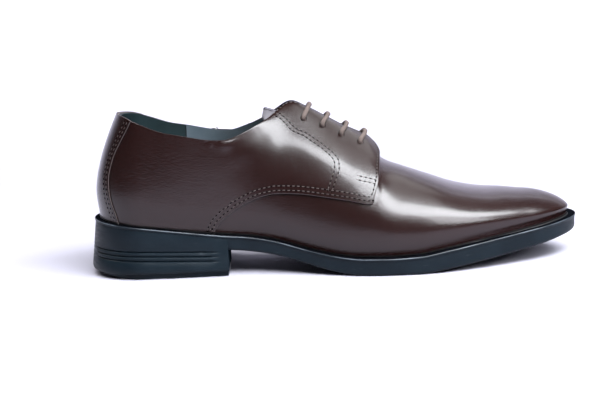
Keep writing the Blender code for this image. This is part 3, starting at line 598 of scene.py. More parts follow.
def crease_height(side, reach, row):
    """How far the creases lift the leather at a place."""
    height = 0.0
    for crease in CREASES:
        if crease.side != side:
            continue
        ahead, above = reach - crease.reach, (row - crease.row) * ROW_LENGTH
        turn = math.radians(crease.turn)
        along_it = ahead * math.cos(turn) + above * math.sin(turn)
        across = above * math.cos(turn) - ahead * math.sin(turn)
        height += crease.height * math.exp(-(along_it / crease.length) ** 2
                                           - (across / crease.width) ** 2)
    below_edge = min(max((1.0 - row) / CREASE_END, 0.0), 1.0)
    return height * below_edge * below_edge * (3.0 - 2.0 * below_edge)


def quarter_surface(side, reach, row, layer=0.0):
    """A point on the quarters' leather, or the given distance outside it. Below the throat's
    corner the sides are evened out along the shoe, as lasted leather is."""
    height = QUARTER_STEP + crease_height(side, reach, row) + foot_fullness(reach, row) + layer
    near_throat = min(max(1.0 - abs(reach - THROAT_CORNER) / EVEN_REACH, 0.0), 1.0)
    reach_out = EVEN_LENGTH * near_throat * min((1.0 - row) / EVEN_ROWS, 1.0)
    if reach_out < EVEN_LEAST:
        station = station_at(side, reach)
        return upper_point(station, row, lift_at(station, row) + height, True)
    total = Vector()
    for step in range(1 - EVEN_STEPS, EVEN_STEPS):
        share_out = step / EVEN_STEPS
        station = station_at(side, reach + share_out * reach_out)
        weight = (0.5 + 0.5 * math.cos(math.pi * share_out)) / EVEN_STEPS
        total += upper_point(station, row, lift_at(station, row) + height, True) * weight
    return total


def row_at_height(side, reach, height):
    """How far up the quarter a height above the floor lies."""
    low, high = 0.0, 1.0
    for _ in range(22):
        row = (low + high) / 2
        if quarter_surface(side, reach, row).z < height:
            low = row
        else:
            high = row
    return (low + high) / 2


def side_view_path(side, places):
    """Turns places seen from the side, x and height, into places on the quarter."""
    return [(x, row_at_height(side, x, height)) for x, height in places]


def path_lengths(path):
    """Running length at each place of a path on the quarter."""
    lengths = [0.0]
    for (reach, row), (next_reach, next_row) in zip(path, path[1:]):
        step = math.hypot(next_reach - reach, (next_row - row) * ROW_LENGTH)
        lengths.append(lengths[-1] + step)
    return lengths


def on_path(path, lengths, part):
    """The place at a share of a path's length."""
    want = part * lengths[-1]
    low = min(max(bisect.bisect_right(lengths, want) - 1, 0), len(path) - 2)
    span = lengths[low + 1] - lengths[low]
    near = (want - lengths[low]) / span if span > 0.0 else 0.0
    return tuple(a + (b - a) * near for a, b in zip(path[low], path[low + 1]))


def smooth_path(path, steps):
    """More places on a smooth curve through the given ones."""
    line = smooth_line([Vector((*place, 0.0)) for place in path], steps)
    return [(point.x, point.y) for point in line]


# Making and placing pieces

def deselect_all():
    """Leaves no piece selected."""
    for item in list(bpy.context.selected_objects):
        item.select_set(False)


def take(item):
    """Makes a piece the only one selected."""
    deselect_all()
    item.select_set(True)
    bpy.context.view_layer.objects.active = item


def add_panel(name, point, across, along):
    """A sheet of faces laid on a surface; the point function takes shares along and across."""
    deselect_all()
    bpy.ops.mesh.primitive_grid_add(x_subdivisions=along, y_subdivisions=across, size=2.0)
    panel = bpy.context.object
    panel.name = name
    panel.data.name = name
    for vertex in panel.data.vertices:
        vertex.co = point((vertex.co.x + 1.0) / 2.0, (vertex.co.y + 1.0) / 2.0)
    return panel


def clean_mesh(item, distance=0.00002):
    """Merges doubled points and turns all faces outwards."""
    take(item)
    bpy.ops.object.mode_set(mode="EDIT")
    bpy.ops.mesh.select_all(action="SELECT")
    bpy.ops.mesh.remove_doubles(threshold=distance)
    bpy.ops.mesh.dissolve_degenerate(threshold=distance)
    bpy.ops.mesh.normals_make_consistent(inside=False)
    bpy.ops.object.mode_set(mode="OBJECT")


def add_modifier(item, name, kind, **settings):
    """Adds a modifier and applies it."""
    take(item)
    modifier = item.modifiers.new(name, kind)
    for key, value in settings.items():
        setattr(modifier, key, value)
    bpy.ops.object.modifier_apply(modifier=name)


def smooth(item, degrees=40.0):
    """Shades a piece smooth, apart from its sharper edges."""
    take(item)
    bpy.ops.object.shade_smooth_by_angle(angle=math.radians(degrees))


def thicken(item, thickness, edge, outward):
    """Gives a sheet its thickness, to the side away from the way it should face, and rounds its
    cut edges, which take the second material."""
    flip_if_needed(item, outward)
    for _ in ("face", "rim"):
        item.data.materials.append(None)
    add_modifier(item, "Thickness", "SOLIDIFY", thickness=thickness, offset=-1.0,
                 use_even_offset=False, material_offset_rim=1)
    if edge > 0.0:
        round_rim(item.data)
        add_modifier(item, "Edge", "BEVEL", width=edge, segments=3, limit_method="WEIGHT",
                     use_clamp_overlap=False)
    smooth(item)


def round_rim(mesh):
    """Marks the edges between a thickened sheet's faces and its rim for rounding."""
    kinds = {}
    for face in mesh.polygons:
        for pair in face.edge_keys:
            kinds.setdefault(pair, set()).add(face.material_index)
    weights = mesh.attributes.new("bevel_weight_edge", "FLOAT", "EDGE")
    for edge in mesh.edges:
        if kinds[edge.key] == {0, 1}:
            weights.data[edge.index].value = 1.0


def flip_if_needed(item, outward):
    """Turns a sheet's faces so that most look the way that outward gives for their middles."""
    total = 0.0
    for face in item.data.polygons:
        total += face.area * face.normal.dot(outward(face.center))
    if total < 0.0:
        take(item)
        bpy.ops.object.mode_set(mode="EDIT")
        bpy.ops.mesh.select_all(action="SELECT")
        bpy.ops.mesh.flip_normals()
        bpy.ops.object.mode_set(mode="OBJECT")


def away_from_foot(point):
    """The way out of the shoe from a point of the upper."""
    x = min(max(point.x, 0.0), TOE_X)
    return (point - Vector((x, ridge(x), sole_top(x) + BULGE_HEIGHT * 0.6))).normalized()


def finish(item, materials, node=None):
    """Gives a piece its materials and its place in the frame."""
    numbers = [face.material_index for face in item.data.polygons]
    item.data.materials.clear()
    for material in materials:
        item.data.materials.append(material)
    for face, number in zip(item.data.polygons, numbers):
        face.material_index = min(number, len(materials) - 1)
    mark_foot(item)
    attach(item, "root")
    if node is not None:
        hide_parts(node)


# Materials

def new_material(name, colour, roughness):
    """A plain material with its node tree and its surface."""
    material = bpy.data.materials.new(name)
    material.use_nodes = True
    surface = material.node_tree.nodes["Principled BSDF"]
    surface.inputs["Base Color"].default_value = (*colour, 1.0)
    surface.inputs["Roughness"].default_value = roughness
    return material, material.node_tree, surface


def noise(tree, scale, detail=2.0, stretch=(1.0, 1.0, 1.0)):
    """Cloudy noise in the shoe's own space."""
    place = tree.nodes.new("ShaderNodeTexCoord")
    mapping = tree.nodes.new("ShaderNodeMapping")
    mapping.inputs["Scale"].default_value = stretch
    texture = tree.nodes.new("ShaderNodeTexNoise")
    texture.inputs["Scale"].default_value = scale
    texture.inputs["Detail"].default_value = detail
    tree.links.new(place.outputs["Object"], mapping.inputs["Vector"])
    tree.links.new(mapping.outputs["Vector"], texture.inputs["Vector"])
    return texture.outputs["Fac"]


def spread(tree, value, low, high, to_low, to_high):
    """Carries one range of values over to another."""
    node = tree.nodes.new("ShaderNodeMapRange")
    node.inputs["From Min"].default_value = low
    node.inputs["From Max"].default_value = high
    node.inputs["To Min"].default_value = to_low
    node.inputs["To Max"].default_value = to_high
    tree.links.new(value, node.inputs["Value"])
    return node.outputs["Result"]


def blend_colours(tree, value, first, second):
    """Mixes two colours or colour outputs by a value."""
    node = tree.nodes.new("ShaderNodeMix")
    node.data_type = "RGBA"
    tree.links.new(value, node.inputs["Factor"])
    for socket, colour in (("A", first), ("B", second)):
        entry = [s for s in node.inputs if s.name == socket and s.type == "RGBA"][0]
        if isinstance(colour, tuple):
            entry.default_value = (*colour, 1.0)
        else:
            tree.links.new(colour, entry)
    return [s for s in node.outputs if s.type == "RGBA"][0]


def add_bump(tree, surface, heights):
    """Chains bumps, each a height output with its depth in metres."""
    last = None
    for height, depth in heights:
        bump = tree.nodes.new("ShaderNodeBump")
        bump.inputs["Strength"].default_value = 1.0
        bump.inputs["Distance"].default_value = depth
        tree.links.new(height, bump.inputs["Height"])
        if last is not None:
            tree.links.new(last, bump.inputs["Normal"])
        last = bump.outputs["Normal"]
    tree.links.new(last, surface.inputs["Normal"])


def mark_foot(item):
    """Notes at each point of a piece its height over the sole."""
    marks = item.data.attributes.new("height_over_sole", "FLOAT", "POINT")
    for vertex, mark in zip(item.data.vertices, marks.data):
        mark.value = vertex.co.z - sole_top(vertex.co.x)


def leather_material():
    """Polished calf, dark brown with a faint cloudiness and a fine grain, painted near black
    where it
    meets the sole: painted shade in the groove over the sole's ledge."""
    material, tree, leather = new_material("polished_calf", (0.018, 0.0095, 0.0085), 0.30)
    cloud = noise(tree, 16.0, 2.0)
    brown = blend_colours(tree, spread(tree, cloud, 0.35, 0.65, 0.0, 1.0),
                          (0.0098, 0.0028, 0.0023), (0.0124, 0.0042, 0.0036))
    attribute = tree.nodes.new("ShaderNodeAttribute")
    attribute.attribute_name = "height_over_sole"
    height = attribute.outputs["Fac"]
    # Painted shade: below this height the colour turns near black for the groove over the ledge;
    # roughness and coat change over the same band
    above_painted_shade = spread(tree, height, PAINTED_SHADE_FOOT, PAINTED_SHADE_FOOT_END, 0.0, 1.0)
    tree.links.new(blend_colours(tree, above_painted_shade, (0.0012, 0.0010, 0.0016), brown),
                   leather.inputs["Base Color"])
    tree.links.new(spread(tree, height, PAINTED_SHADE_FOOT, PAINTED_SHADE_FOOT_END, 0.62, 0.25),
                   leather.inputs["Roughness"])
    tree.links.new(spread(tree, height, PAINTED_SHADE_FOOT, PAINTED_SHADE_FOOT_END, 0.0, 0.30),
                   leather.inputs["Coat Weight"])
    leather.inputs["Coat Roughness"].default_value = 0.15
    leather.inputs["Specular IOR Level"].default_value = 0.36
    add_bump(tree, leather, [(noise(tree, 1500.0, 3.0), 0.00011),
                             (noise(tree, 700.0, 2.0), 0.00008),
                             (noise(tree, 90.0, 1.0), 0.00012)])
    return material


def edge_material(name, low, high):
    """A raw cut edge of the leather; the pale one is partly the edge's own lighter colour and
    partly a painted highlight along its rounded rim.
    """
    material, tree, leather = new_material(name, high, 0.6)
    fine = noise(tree, 900.0, 2.0)
    tree.links.new(blend_colours(tree, fine, low, high), leather.inputs["Base Color"])
    leather.inputs["Specular IOR Level"].default_value = 0.3
    return material


def lining_material():
    """Lining leather: a dark nap round the heel and a smoother, bluer face ahead of its seam,
    painted lighter just ahead of the seam and darker further forward: painted light and shade
    inside the shoe.
    """
    material, tree, leather = new_material("lining_leather", (0.016, 0.030, 0.036), 0.55)
    leather.inputs["Specular IOR Level"].default_value = 0.3
    cloud = spread(tree, noise(tree, 60.0, 3.0), 0.35, 0.65, 0.0, 1.0)
    heel = blend_colours(tree, cloud, (0.004, 0.012, 0.014), (0.008, 0.019, 0.022))
    place = tree.nodes.new("ShaderNodeTexCoord")
    split = tree.nodes.new("ShaderNodeSeparateXYZ")
    tree.links.new(place.outputs["Object"], split.inputs["Vector"])
    # Painted light and shade: the front lining is lighter near the seam and darker further
    # forward, deeper inside the shoe
    painted_light_front = blend_colours(tree, cloud, (0.055, 0.076, 0.092), (0.075, 0.098, 0.117))
    painted_shade_front = blend_colours(tree, cloud, (0.020, 0.028, 0.034), (0.028, 0.037, 0.044))
    further = spread(tree, split.outputs["X"], LINING_SEAM + LINING_SHADE_START,
                     LINING_SEAM + LINING_SHADE_END, 0.0, 1.0)
    front = blend_colours(tree, further, painted_light_front, painted_shade_front)
    ahead = spread(tree, split.outputs["X"], LINING_SEAM, LINING_SEAM + LINING_SEAM_STEP,
                   0.0, 1.0)
    plain = blend_colours(tree, ahead, heel, front)
    before = spread(tree, split.outputs["X"], LINING_SEAM - LINING_SEAM_WIDTH, LINING_SEAM,
                    0.0, 1.0)
    after = spread(tree, split.outputs["X"], LINING_SEAM, LINING_SEAM + LINING_SEAM_WIDTH,
                   1.0, 0.0)
    line = tree.nodes.new("ShaderNodeMath")
    line.operation = "MINIMUM"
    tree.links.new(before, line.inputs[0])
    tree.links.new(after, line.inputs[1])
    tree.links.new(blend_colours(tree, line.outputs["Value"], plain, (0.004, 0.008, 0.010)),
                   leather.inputs["Base Color"])
    add_bump(tree, leather, [(ahead, 0.0004), (noise(tree, 1300.0, 2.0), 0.00004)])
    return material


def tongue_material():
    """The tongue's greyish facing."""
    material, tree, leather = new_material("tongue_leather", (0.20, 0.17, 0.19), 0.5)
    cloud = noise(tree, 90.0, 3.0)
    tree.links.new(blend_colours(tree, spread(tree, cloud, 0.35, 0.65, 0.0, 1.0),
                                 (0.050, 0.045, 0.054), (0.085, 0.077, 0.090)),
                   leather.inputs["Base Color"])
    add_bump(tree, leather, [(noise(tree, 900.0, 2.0), 0.00005)])
    return material


def sole_material():
    """Moulded rubber, blue black with dull scuffs."""
    material, tree, rubber = new_material("moulded_rubber", (0.008, 0.013, 0.018), 0.42)
    cloud = noise(tree, 35.0, 3.0)
    scuff = noise(tree, 130.0, 4.0, (1.0, 1.0, 5.0))
    base = blend_colours(tree, spread(tree, cloud, 0.35, 0.65, 0.0, 1.0),
                         (0.0036, 0.0072, 0.0108), (0.0060, 0.0112, 0.0160))
    dusty = blend_colours(tree, spread(tree, scuff, 0.66, 0.86, 0.0, 0.5),
                          base, (0.060, 0.070, 0.080))
    tree.links.new(dusty, rubber.inputs["Base Color"])
    tree.links.new(spread(tree, scuff, 0.4, 0.75, 0.38, 0.55), rubber.inputs["Roughness"])
    rubber.inputs["Specular IOR Level"].default_value = 0.14
    add_bump(tree, rubber, [(noise(tree, 1100.0, 2.0), 0.00003),
                            (noise(tree, 180.0, 2.0), 0.00005)])
    return material


def dull_rubber_material(name, colour):
    """Rubber that doesn't shine, in the colour given: near black on the ledge, painted shade, and
    lighter on the heel's breast, painted light.
    """
    material, _, rubber = new_material(name, colour, 0.8)
    rubber.inputs["Specular IOR Level"].default_value = 0.0
    return material


def lip_wear_and_highlight_material():
    """The lip's edge, rubbed pale and dusty in streaks; the pale streaks are also a painted
    highlight along its rounded edge.
    """
    material, tree, rubber = new_material("lip_wear_and_highlight", (0.02, 0.03, 0.04), 0.4)
    streak = noise(tree, 60.0, 5.0, (1.0, 1.0, 0.3))
    tree.links.new(blend_colours(tree, spread(tree, streak, 0.42, 0.60, 0.0, 1.0),
                                 (0.008, 0.013, 0.019), (0.066, 0.080, 0.098)),
                   rubber.inputs["Base Color"])
    return material


def lace_material():
    """Round woven lace, warm taupe; its weave follows the cord."""
    material, tree, cotton = new_material("woven_lace", (0.33, 0.24, 0.21), 0.8)
    place = tree.nodes.new("ShaderNodeUVMap")
    heights = []
    for turn in (1.0, -1.0):
        mapping = tree.nodes.new("ShaderNodeMapping")
        mapping.inputs["Rotation"].default_value = (0.0, 0.0, turn * math.radians(38.0))
        tree.links.new(place.outputs["UV"], mapping.inputs["Vector"])
        wave = tree.nodes.new("ShaderNodeTexWave")
        wave.inputs["Scale"].default_value = 3.2
        wave.inputs["Distortion"].default_value = 0.4
        tree.links.new(mapping.outputs["Vector"], wave.inputs["Vector"])
        heights.append(wave.outputs["Fac"])
    weave = tree.nodes.new("ShaderNodeMath")
    weave.operation = "MAXIMUM"
    tree.links.new(heights[0], weave.inputs[0])
    tree.links.new(heights[1], weave.inputs[1])
    # Painted shade: the weave's colour darkens where its bump is lowest, in the hollows between
    # the strands
    tree.links.new(blend_colours(tree, weave.outputs["Value"], (0.048, 0.033, 0.029),
                                 (0.150, 0.112, 0.098)), cotton.inputs["Base Color"])
    add_bump(tree, cotton, [(weave.outputs["Value"], 0.00012)])
    return material


def thread_material(name, colour, shine):
    """Waxed thread, or the near black of the painted shade in the needle holes between its
    stitches.
    """
    material, tree, thread = new_material(name, colour, 0.4)
    thread.inputs["Specular IOR Level"].default_value = shine
    fine = noise(tree, 2500.0, 1.0)
    tree.links.new(blend_colours(tree, fine, tuple(0.7 * part for part in colour), colour),
                   thread.inputs["Base Color"])
    return material


# Upper

def quarter_outline(side):
    """The quarter's lower, front and upper edges as paths on its surface."""
    edge_places = smooth_line(
        [Vector((along(FACING_END * row.at), 0.0, THROAT_HEIGHT * row.height))
         for row in QUARTER_EDGE_ROWS], EDGE_STEPS)
    split = QUARTER_CORNER * EDGE_STEPS
    low = [(-HEEL_ARC, 0.0), (-HEEL_ARC / 2, 0.0), (0.0, 0.0), (edge_places[0].x / 2, 0.0)]
    low += [(place.x, row_at_height(side, place.x, place.z)) for place in edge_places[:split + 1]]
    front = [(place.x, row_at_height(side, place.x, place.z)) for place in edge_places[split:]]
    kept = [place for place in front if place[1] < FACING_CORNER_ROW]
    reach, row = kept[-1]
    step_turn = math.pi / (2 * CORNER_STEPS)
    corner = [(reach - FACING_CORNER * (1.0 - math.cos(step_turn * step)),
               row + (1.0 - row) * math.sin(step_turn * step))
              for step in range(1, CORNER_STEPS + 1)]
    top = [(-HEEL_ARC + (corner[-1][0] + HEEL_ARC) * step / 40, 1.0) for step in range(41)]
    middle = CORNER_STEPS // 2
    return low, kept + corner[:middle], top + corner[middle - 1:-1][::-1]


def build_quarter(name, side, leathers):
    """One quarter with its facing: a sheet between its outline's edges, with punched eyelets."""
    low, front, top = quarter_outline(side)
    low_lengths, front_lengths, top_lengths = map(path_lengths, (low, front, top))

    def point(part, up):
        under = on_path(low, low_lengths, part)
        over = on_path(top, top_lengths, part)
        right = on_path(front, front_lengths, up)
        place = []
        for axis in (0, 1):
            left = (-HEEL_ARC, up)[axis]
            straight = under[axis] * (1.0 - up) + over[axis] * up
            sideways = left * (1.0 - part) + right[axis] * part
            corners = ((low[0][axis] * (1.0 - part) + low[-1][axis] * part) * (1.0 - up)
                       + (top[0][axis] * (1.0 - part) + top[-1][axis] * part) * up)
            place.append(straight + sideways - corners)
        return quarter_surface(side, place[0], min(max(place[1], 0.0), 1.0))

    quarter = add_panel(name, point, across=68, along=270)
    thicken(quarter, QUARTER_STEP - SHEET_GAP, PANEL_EDGE, away_from_foot)
    for number in range(LACE_ROWS):
        x = eyelet_x(number)
        outside = facing_point(side, x, EYELET_HALF_SPACING, PUNCH_REACH)
        inside = facing_point(side, x, EYELET_HALF_SPACING, -PUNCH_REACH)
        turn = (outside - inside).to_track_quat("Z", "X").to_euler()
        deselect_all()
        bpy.ops.mesh.primitive_cylinder_add(vertices=28, radius=EYELET_DIAMETER / 2,
                                            depth=(outside - inside).length,
                                            location=(outside + inside) / 2, rotation=turn)
        punch = bpy.context.object
        add_modifier(quarter, "Eyelet", "BOOLEAN", operation="DIFFERENCE", solver="EXACT",
                     object=punch)
        bpy.data.objects.remove(punch)
    smooth(quarter)
    quarter.data.materials.append(None)
    for face in quarter.data.polygons:
        dark = face.center.x > DARK_EDGE_START and face.center.z > DARK_EDGE_LOW
        if face.material_index and dark:
            face.material_index = 2
    finish(quarter, leathers, "upper")


def round_toe(part, start):
    """Side and reach at a share of the way from a place on the outer side round the toe to the
    same place on the inner one."""
    side = -1 if part <= 0.5 else 1
    near = 1.0 - abs(2.0 * part - 1.0)
    return side, start + (TOE_X + TOE_ARC - start) * near


def round_heel(part, end):
    """The same round the heel, with the place at the end."""
    side = -1 if part <= 0.5 else 1
    near = abs(2.0 * part - 1.0)
    return side, -HEEL_ARC + (end + HEEL_ARC) * near


def build_vamp(leather):
    """The vamp, from under the quarters round the toe."""
    def point(part, up):
        side, reach = round_toe(part, VAMP_START)
        return upper_point(station_at(side, reach), up, foot_fullness(reach, up))

    vamp = add_panel("vamp", point, across=52, along=280)
    clean_mesh(vamp)
    thicken(vamp, LINING_THICKNESS, 0.0, away_from_foot)
    finish(vamp, [leather], "upper")


def build_lining(material):
    """The lining, all round inside, with its top edge turned level with the leather."""
    def point(part, up):
        station = station_at(*round_toe(part, -HEEL_ARC))
        return upper_point(station, up, -wall_at(station) + LINING_THICKNESS)

    lining = add_panel("lining", point, across=44, along=360)
    clean_mesh(lining)
    thicken(lining, LINING_THICKNESS, LINING_THICKNESS * 0.3, away_from_foot)
    finish(lining, [material], "upper")


def backstay_half_width(height):
    """Half the backstay's width at a height."""
    table = {"at": [row.height for row in BACKSTAY_ROWS],
             "half_width": [row.half_width for row in BACKSTAY_ROWS]}
    return BACKSTAY_HALF_WIDTH * read(table, "half_width", height / THROAT_HEIGHT)


def backstay_reach(side, row):
    """Where the strip's edge lies round the heel."""
    low, high = -HEEL_ARC, BACKSTAY_SEARCH
    for _ in range(20):
        reach = (low + high) / 2
        point = quarter_surface(side, reach, row)
        if abs(point.y) < backstay_half_width(point.z):
            low = reach
        else:
            high = reach
    return (low + high) / 2


def between(values, part):
    """Reads evenly spaced values at a share of their length."""
    place = part * (len(values) - 1)
    low = min(int(place), len(values) - 2)
    return values[low] + (values[low + 1] - values[low]) * (place - low)


def backstay_point(reach, side, row):
    """A point of the backstay's outer face."""
    outside = QUARTER_STEP + BACKSTAY_STEP + foot_fullness(0.0, row)
    return upper_point(station_at(side, reach), row, outside, True)


def build_backstay(leathers, edges):
    """The strip over the back seam, between its two edges' places round the heel."""
    def point(part, up):
        side = -1 if part <= 0.5 else 1
        near = abs(2.0 * part - 1.0)
        reach = -HEEL_ARC + (between(edges[side], up) + HEEL_ARC) * near
        return backstay_point(reach, side, up)

    strip = add_panel("backstay", point, across=60, along=60)
    thicken(strip, BACKSTAY_STEP - SHEET_GAP, PANEL_EDGE * 0.8, away_from_foot)
    finish(strip, leathers, "upper")


# Stitches

def offset_path(side, path, distance):
    """A path on the quarter moved sideways over the leather, positive to its left as seen from
    outside on the outer side."""
    moved = []
    for index, (reach, row) in enumerate(path):
        before = path[max(index - 1, 0)]
        after = path[min(index + 1, len(path) - 1)]
        here = quarter_surface(side, reach, row)
        by_reach = (quarter_surface(side, reach + REACH_STEP, row) - here) / REACH_STEP
        down = row - SLOPE_STEP if row > 0.5 else row + SLOPE_STEP
        by_row = (quarter_surface(side, reach, down) - here) / (down - row)
        heading = by_reach * (after[0] - before[0]) + by_row * (after[1] - before[1])
        outward = by_reach.cross(by_row)
        aside = outward.cross(heading).normalized() * distance
        a, b, c = by_reach.dot(by_reach), by_reach.dot(by_row), by_row.dot(by_row)
        d, e = aside.dot(by_reach), aside.dot(by_row)
        scale = a * c - b * b
        moved.append((reach + (d * c - e * b) / scale,
                      min(max(row + (a * e - b * d) / scale, 0.0), 1.0)))
    return moved


def line_on_quarter(side, path, steps=6):
    """Points on the leather along a path on the quarter."""
    points = []
    for (reach, row), (next_reach, next_row) in zip(path, path[1:]):
        for step in range(steps):
            part = step / steps
            points.append(quarter_surface(side, reach + (next_reach - reach) * part,
                                          row + (next_row - row) * part))
    points.append(quarter_surface(side, *path[-1]))
    return points


def stitches_on_line(points, outward_at):
    """Where each stitch lies along a line of points."""
    places = []
    travelled = 0.0
    want = STITCH_LENGTH / 2
    for near, far in zip(points, points[1:]):
        step = (far - near).length
        while step > 0.0 and travelled + step >= want:
            point = near.lerp(far, (want - travelled) / step)
            places.append((point, (far - near).normalized(), outward_at(point)))
            want += STITCH_LENGTH + STITCH_GAP
        travelled += step
    return places


def sew(name, places, length, thickness, material, sink):
    """Copies one stitch to every place, in one mesh."""
    deselect_all()
    bpy.ops.mesh.primitive_cylinder_add(vertices=6, radius=thickness / 2, depth=length)
    model = bpy.context.object
    bpy.ops.object.mode_set(mode="EDIT")
    bpy.ops.mesh.select_all(action="SELECT")
    bpy.ops.mesh.bevel(offset=thickness * STITCH_ROUNDING, segments=1, affect="EDGES")
    bpy.ops.object.mode_set(mode="OBJECT")
    source = model.data
    sewn = bmesh.new()
    for point, heading, outward in places:
        across = outward.cross(heading).normalized()
        up = heading.cross(across).normalized()
        centre = point - up * thickness * sink
        turn = Matrix((across, up, heading)).transposed().to_4x4()
        turn.translation = centre
        piece = bmesh.new()
        piece.from_mesh(source)
        bmesh.ops.transform(piece, matrix=turn, verts=piece.verts)
        copy = bpy.data.meshes.new("stitch")
        piece.to_mesh(copy)
        piece.free()
        sewn.from_mesh(copy)
        bpy.data.meshes.remove(copy)
    mesh = bpy.data.meshes.new(name)
    sewn.to_mesh(mesh)
    sewn.free()
    bpy.data.objects.remove(model)
    bpy.data.meshes.remove(source)
    item = bpy.data.objects.new(name, mesh)
    bpy.context.scene.collection.objects.link(item)
    mesh.shade_smooth()
    finish(item, [material])


def sew_upper(thread, mark, strip_edges):
    """All the stitches of the upper: pale threads between near-black marks, painted shade of
    the needle holes.
    """
    places = []

    def sew_path(side, path, distance=0.0):
        moved = [place for place in offset_path(side, path, distance)
                 if SEAM_LOWEST < place[1] < SEAM_HIGHEST]
        places.extend(stitches_on_line(line_on_quarter(side, moved), away_from_foot))

    for side in (-1, 1):
        low, front, _ = quarter_outline(side)
        facing_seam = smooth_path(side_view_path(side, FACING_SEAM), steps=4)
        bar_tack = side_view_path(side, BAR_TACK)
        for distance in EDGE_ROWS:
            sew_path(side, low[4:], distance)
        sew_path(side, front, FRONT_ROW)
        for distance in (0.0, ROW_SPACING):
            sew_path(side, facing_seam, distance)
            sew_path(side, bar_tack, distance)
        sew_path(side, COLLAR_CORNER_SEAM)
        for distance in EDGE_ROWS:
            line = []
            for step in range(BACKSTAY_SEAM_FIRST, BACKSTAY_SEAM_LAST + 1):
                row = step / BACKSTAY_SEAM_STEPS
                reach = between(strip_edges[side], row) - distance
                line.append(backstay_point(reach, side, row))
            places.extend(stitches_on_line(line, away_from_foot))
    sew("seam_threads", places, STITCH_LENGTH, STITCH_THICKNESS, thread, STITCH_SINK)
    # Painted shade: a near-black piece lies in each needle hole between two stitches
    marks = [(point + heading * (STITCH_LENGTH + STITCH_GAP) / 2, heading, outward)
             for point, heading, outward in places]
    sew("needle_hole_shade", marks, STITCH_GAP * MARK_LENGTH, STITCH_THICKNESS * MARK_THICKNESS,
        mark, MARK_SINK)


# Tongue and lace

def tongue_point(part, across_part, depth):
    """A point of the tongue, at shares of its length and width, below its upper face."""
    start = along(THROAT_START) - TONGUE_BACK + TONGUE_TRIM
    end = along(TONGUE_FRONT)
    x = start + (end - start) * part
    behind = min(max((along(THROAT_START) - x) / TONGUE_BACK, 0.0), 1.0)
    carried = max(x, along(THROAT_START) + CLEARANCE)
    ahead = min(max((x - eyelet_x(LACE_ROWS - 1) - LACE_DIAMETER) / LACE_PITCH, 0.0), 1.0)
    sunk = 1.5 * CLEARANCE + (LACE_ROOM + LACE_DIAMETER + CLEARANCE) * (1.0 - ahead)
    side = -1 if across_part < 0.5 else 1
    share_across = abs(2.0 * across_part - 1.0)
    corner = 1.0 - TONGUE_CORNER * max(1.0 - part / TONGUE_CORNER_PART, 0.0) ** 3
    across = TONGUE_HALF_WIDTH * share_across * corner
    station = middle_station(side, carried)
    row = facing_row(station, max(across, FACING_GAP / 2))
    point = upper_point(station, row, -wall_at(station) - sunk - depth)
    if across < FACING_GAP / 2:
        point.y = ridge(carried) + side * across
        point.z += TONGUE_CROWN * (1.0 - (across / (FACING_GAP / 2)) ** 2)
    lean = TONGUE_LEAN * (1.0 - share_across) * max(1.0 - part / TONGUE_LEAN_PART, 0.0)
    point.x += x - carried + lean
    point.z += TONGUE_RISE * behind ** 2
    return point


def add_pad(name, surface, depth_at, rounding, along_steps, around_steps):
    """A closed pad with round edges: the surface function takes shares along and across and a
    depth; depth_at gives its upper and lower faces' depths at a share along."""
    def point(part, around):
        near = 0.5 - 0.5 * math.cos(math.pi * part)
        part = 0.4 * part + 0.6 * near
        over = around <= 0.5
        across = 0.5 - 0.5 * math.cos(2.0 * math.pi * (around if over else 1.0 - around))
        low, high = depth_at(part)
        middle, half = (low + high) / 2, (high - low) / 2
        ends = max(1.0 - abs(2.0 * part - 1.0) ** rounding, 0.0)
        sides = max(1.0 - abs(2.0 * across - 1.0) ** (rounding / 2), 0.0)
        half *= math.sqrt(ends * sides)
        return surface(part, across, middle - half if over else middle + half)

    pad = add_panel(name, point, around_steps, along_steps)
    clean_mesh(pad)
    smooth(pad, 60.0)
    return pad


def build_tongue(material, leather):
    """The padded tongue and the leather that covers it from just behind its free end."""
    def pad_depths(part):
        padding = 1.0 + TONGUE_PADDING * max(1.0 - part / TONGUE_PADDING_PART, 0.0)
        return TONGUE_COVER, TONGUE_THICKNESS * padding

    def cover_depths(part):
        return 0.0, TONGUE_COVER + TONGUE_COVER_OVERLAP

    def cover_point(part, across, depth):
        part = TONGUE_COVER_START + (1.0 - TONGUE_COVER_START) * part
        return tongue_point(part, 0.5 + (across - 0.5) * TONGUE_COVER_WIDTH, depth)

    pad = add_pad("tongue_pad", tongue_point, pad_depths, rounding=46.0,
                  along_steps=90, around_steps=96)
    finish(pad, [material], "tongue")
    cover = add_pad("tongue_cover", cover_point, cover_depths, rounding=90.0,
                    along_steps=80, around_steps=96)
    finish(cover, [leather], "tongue")


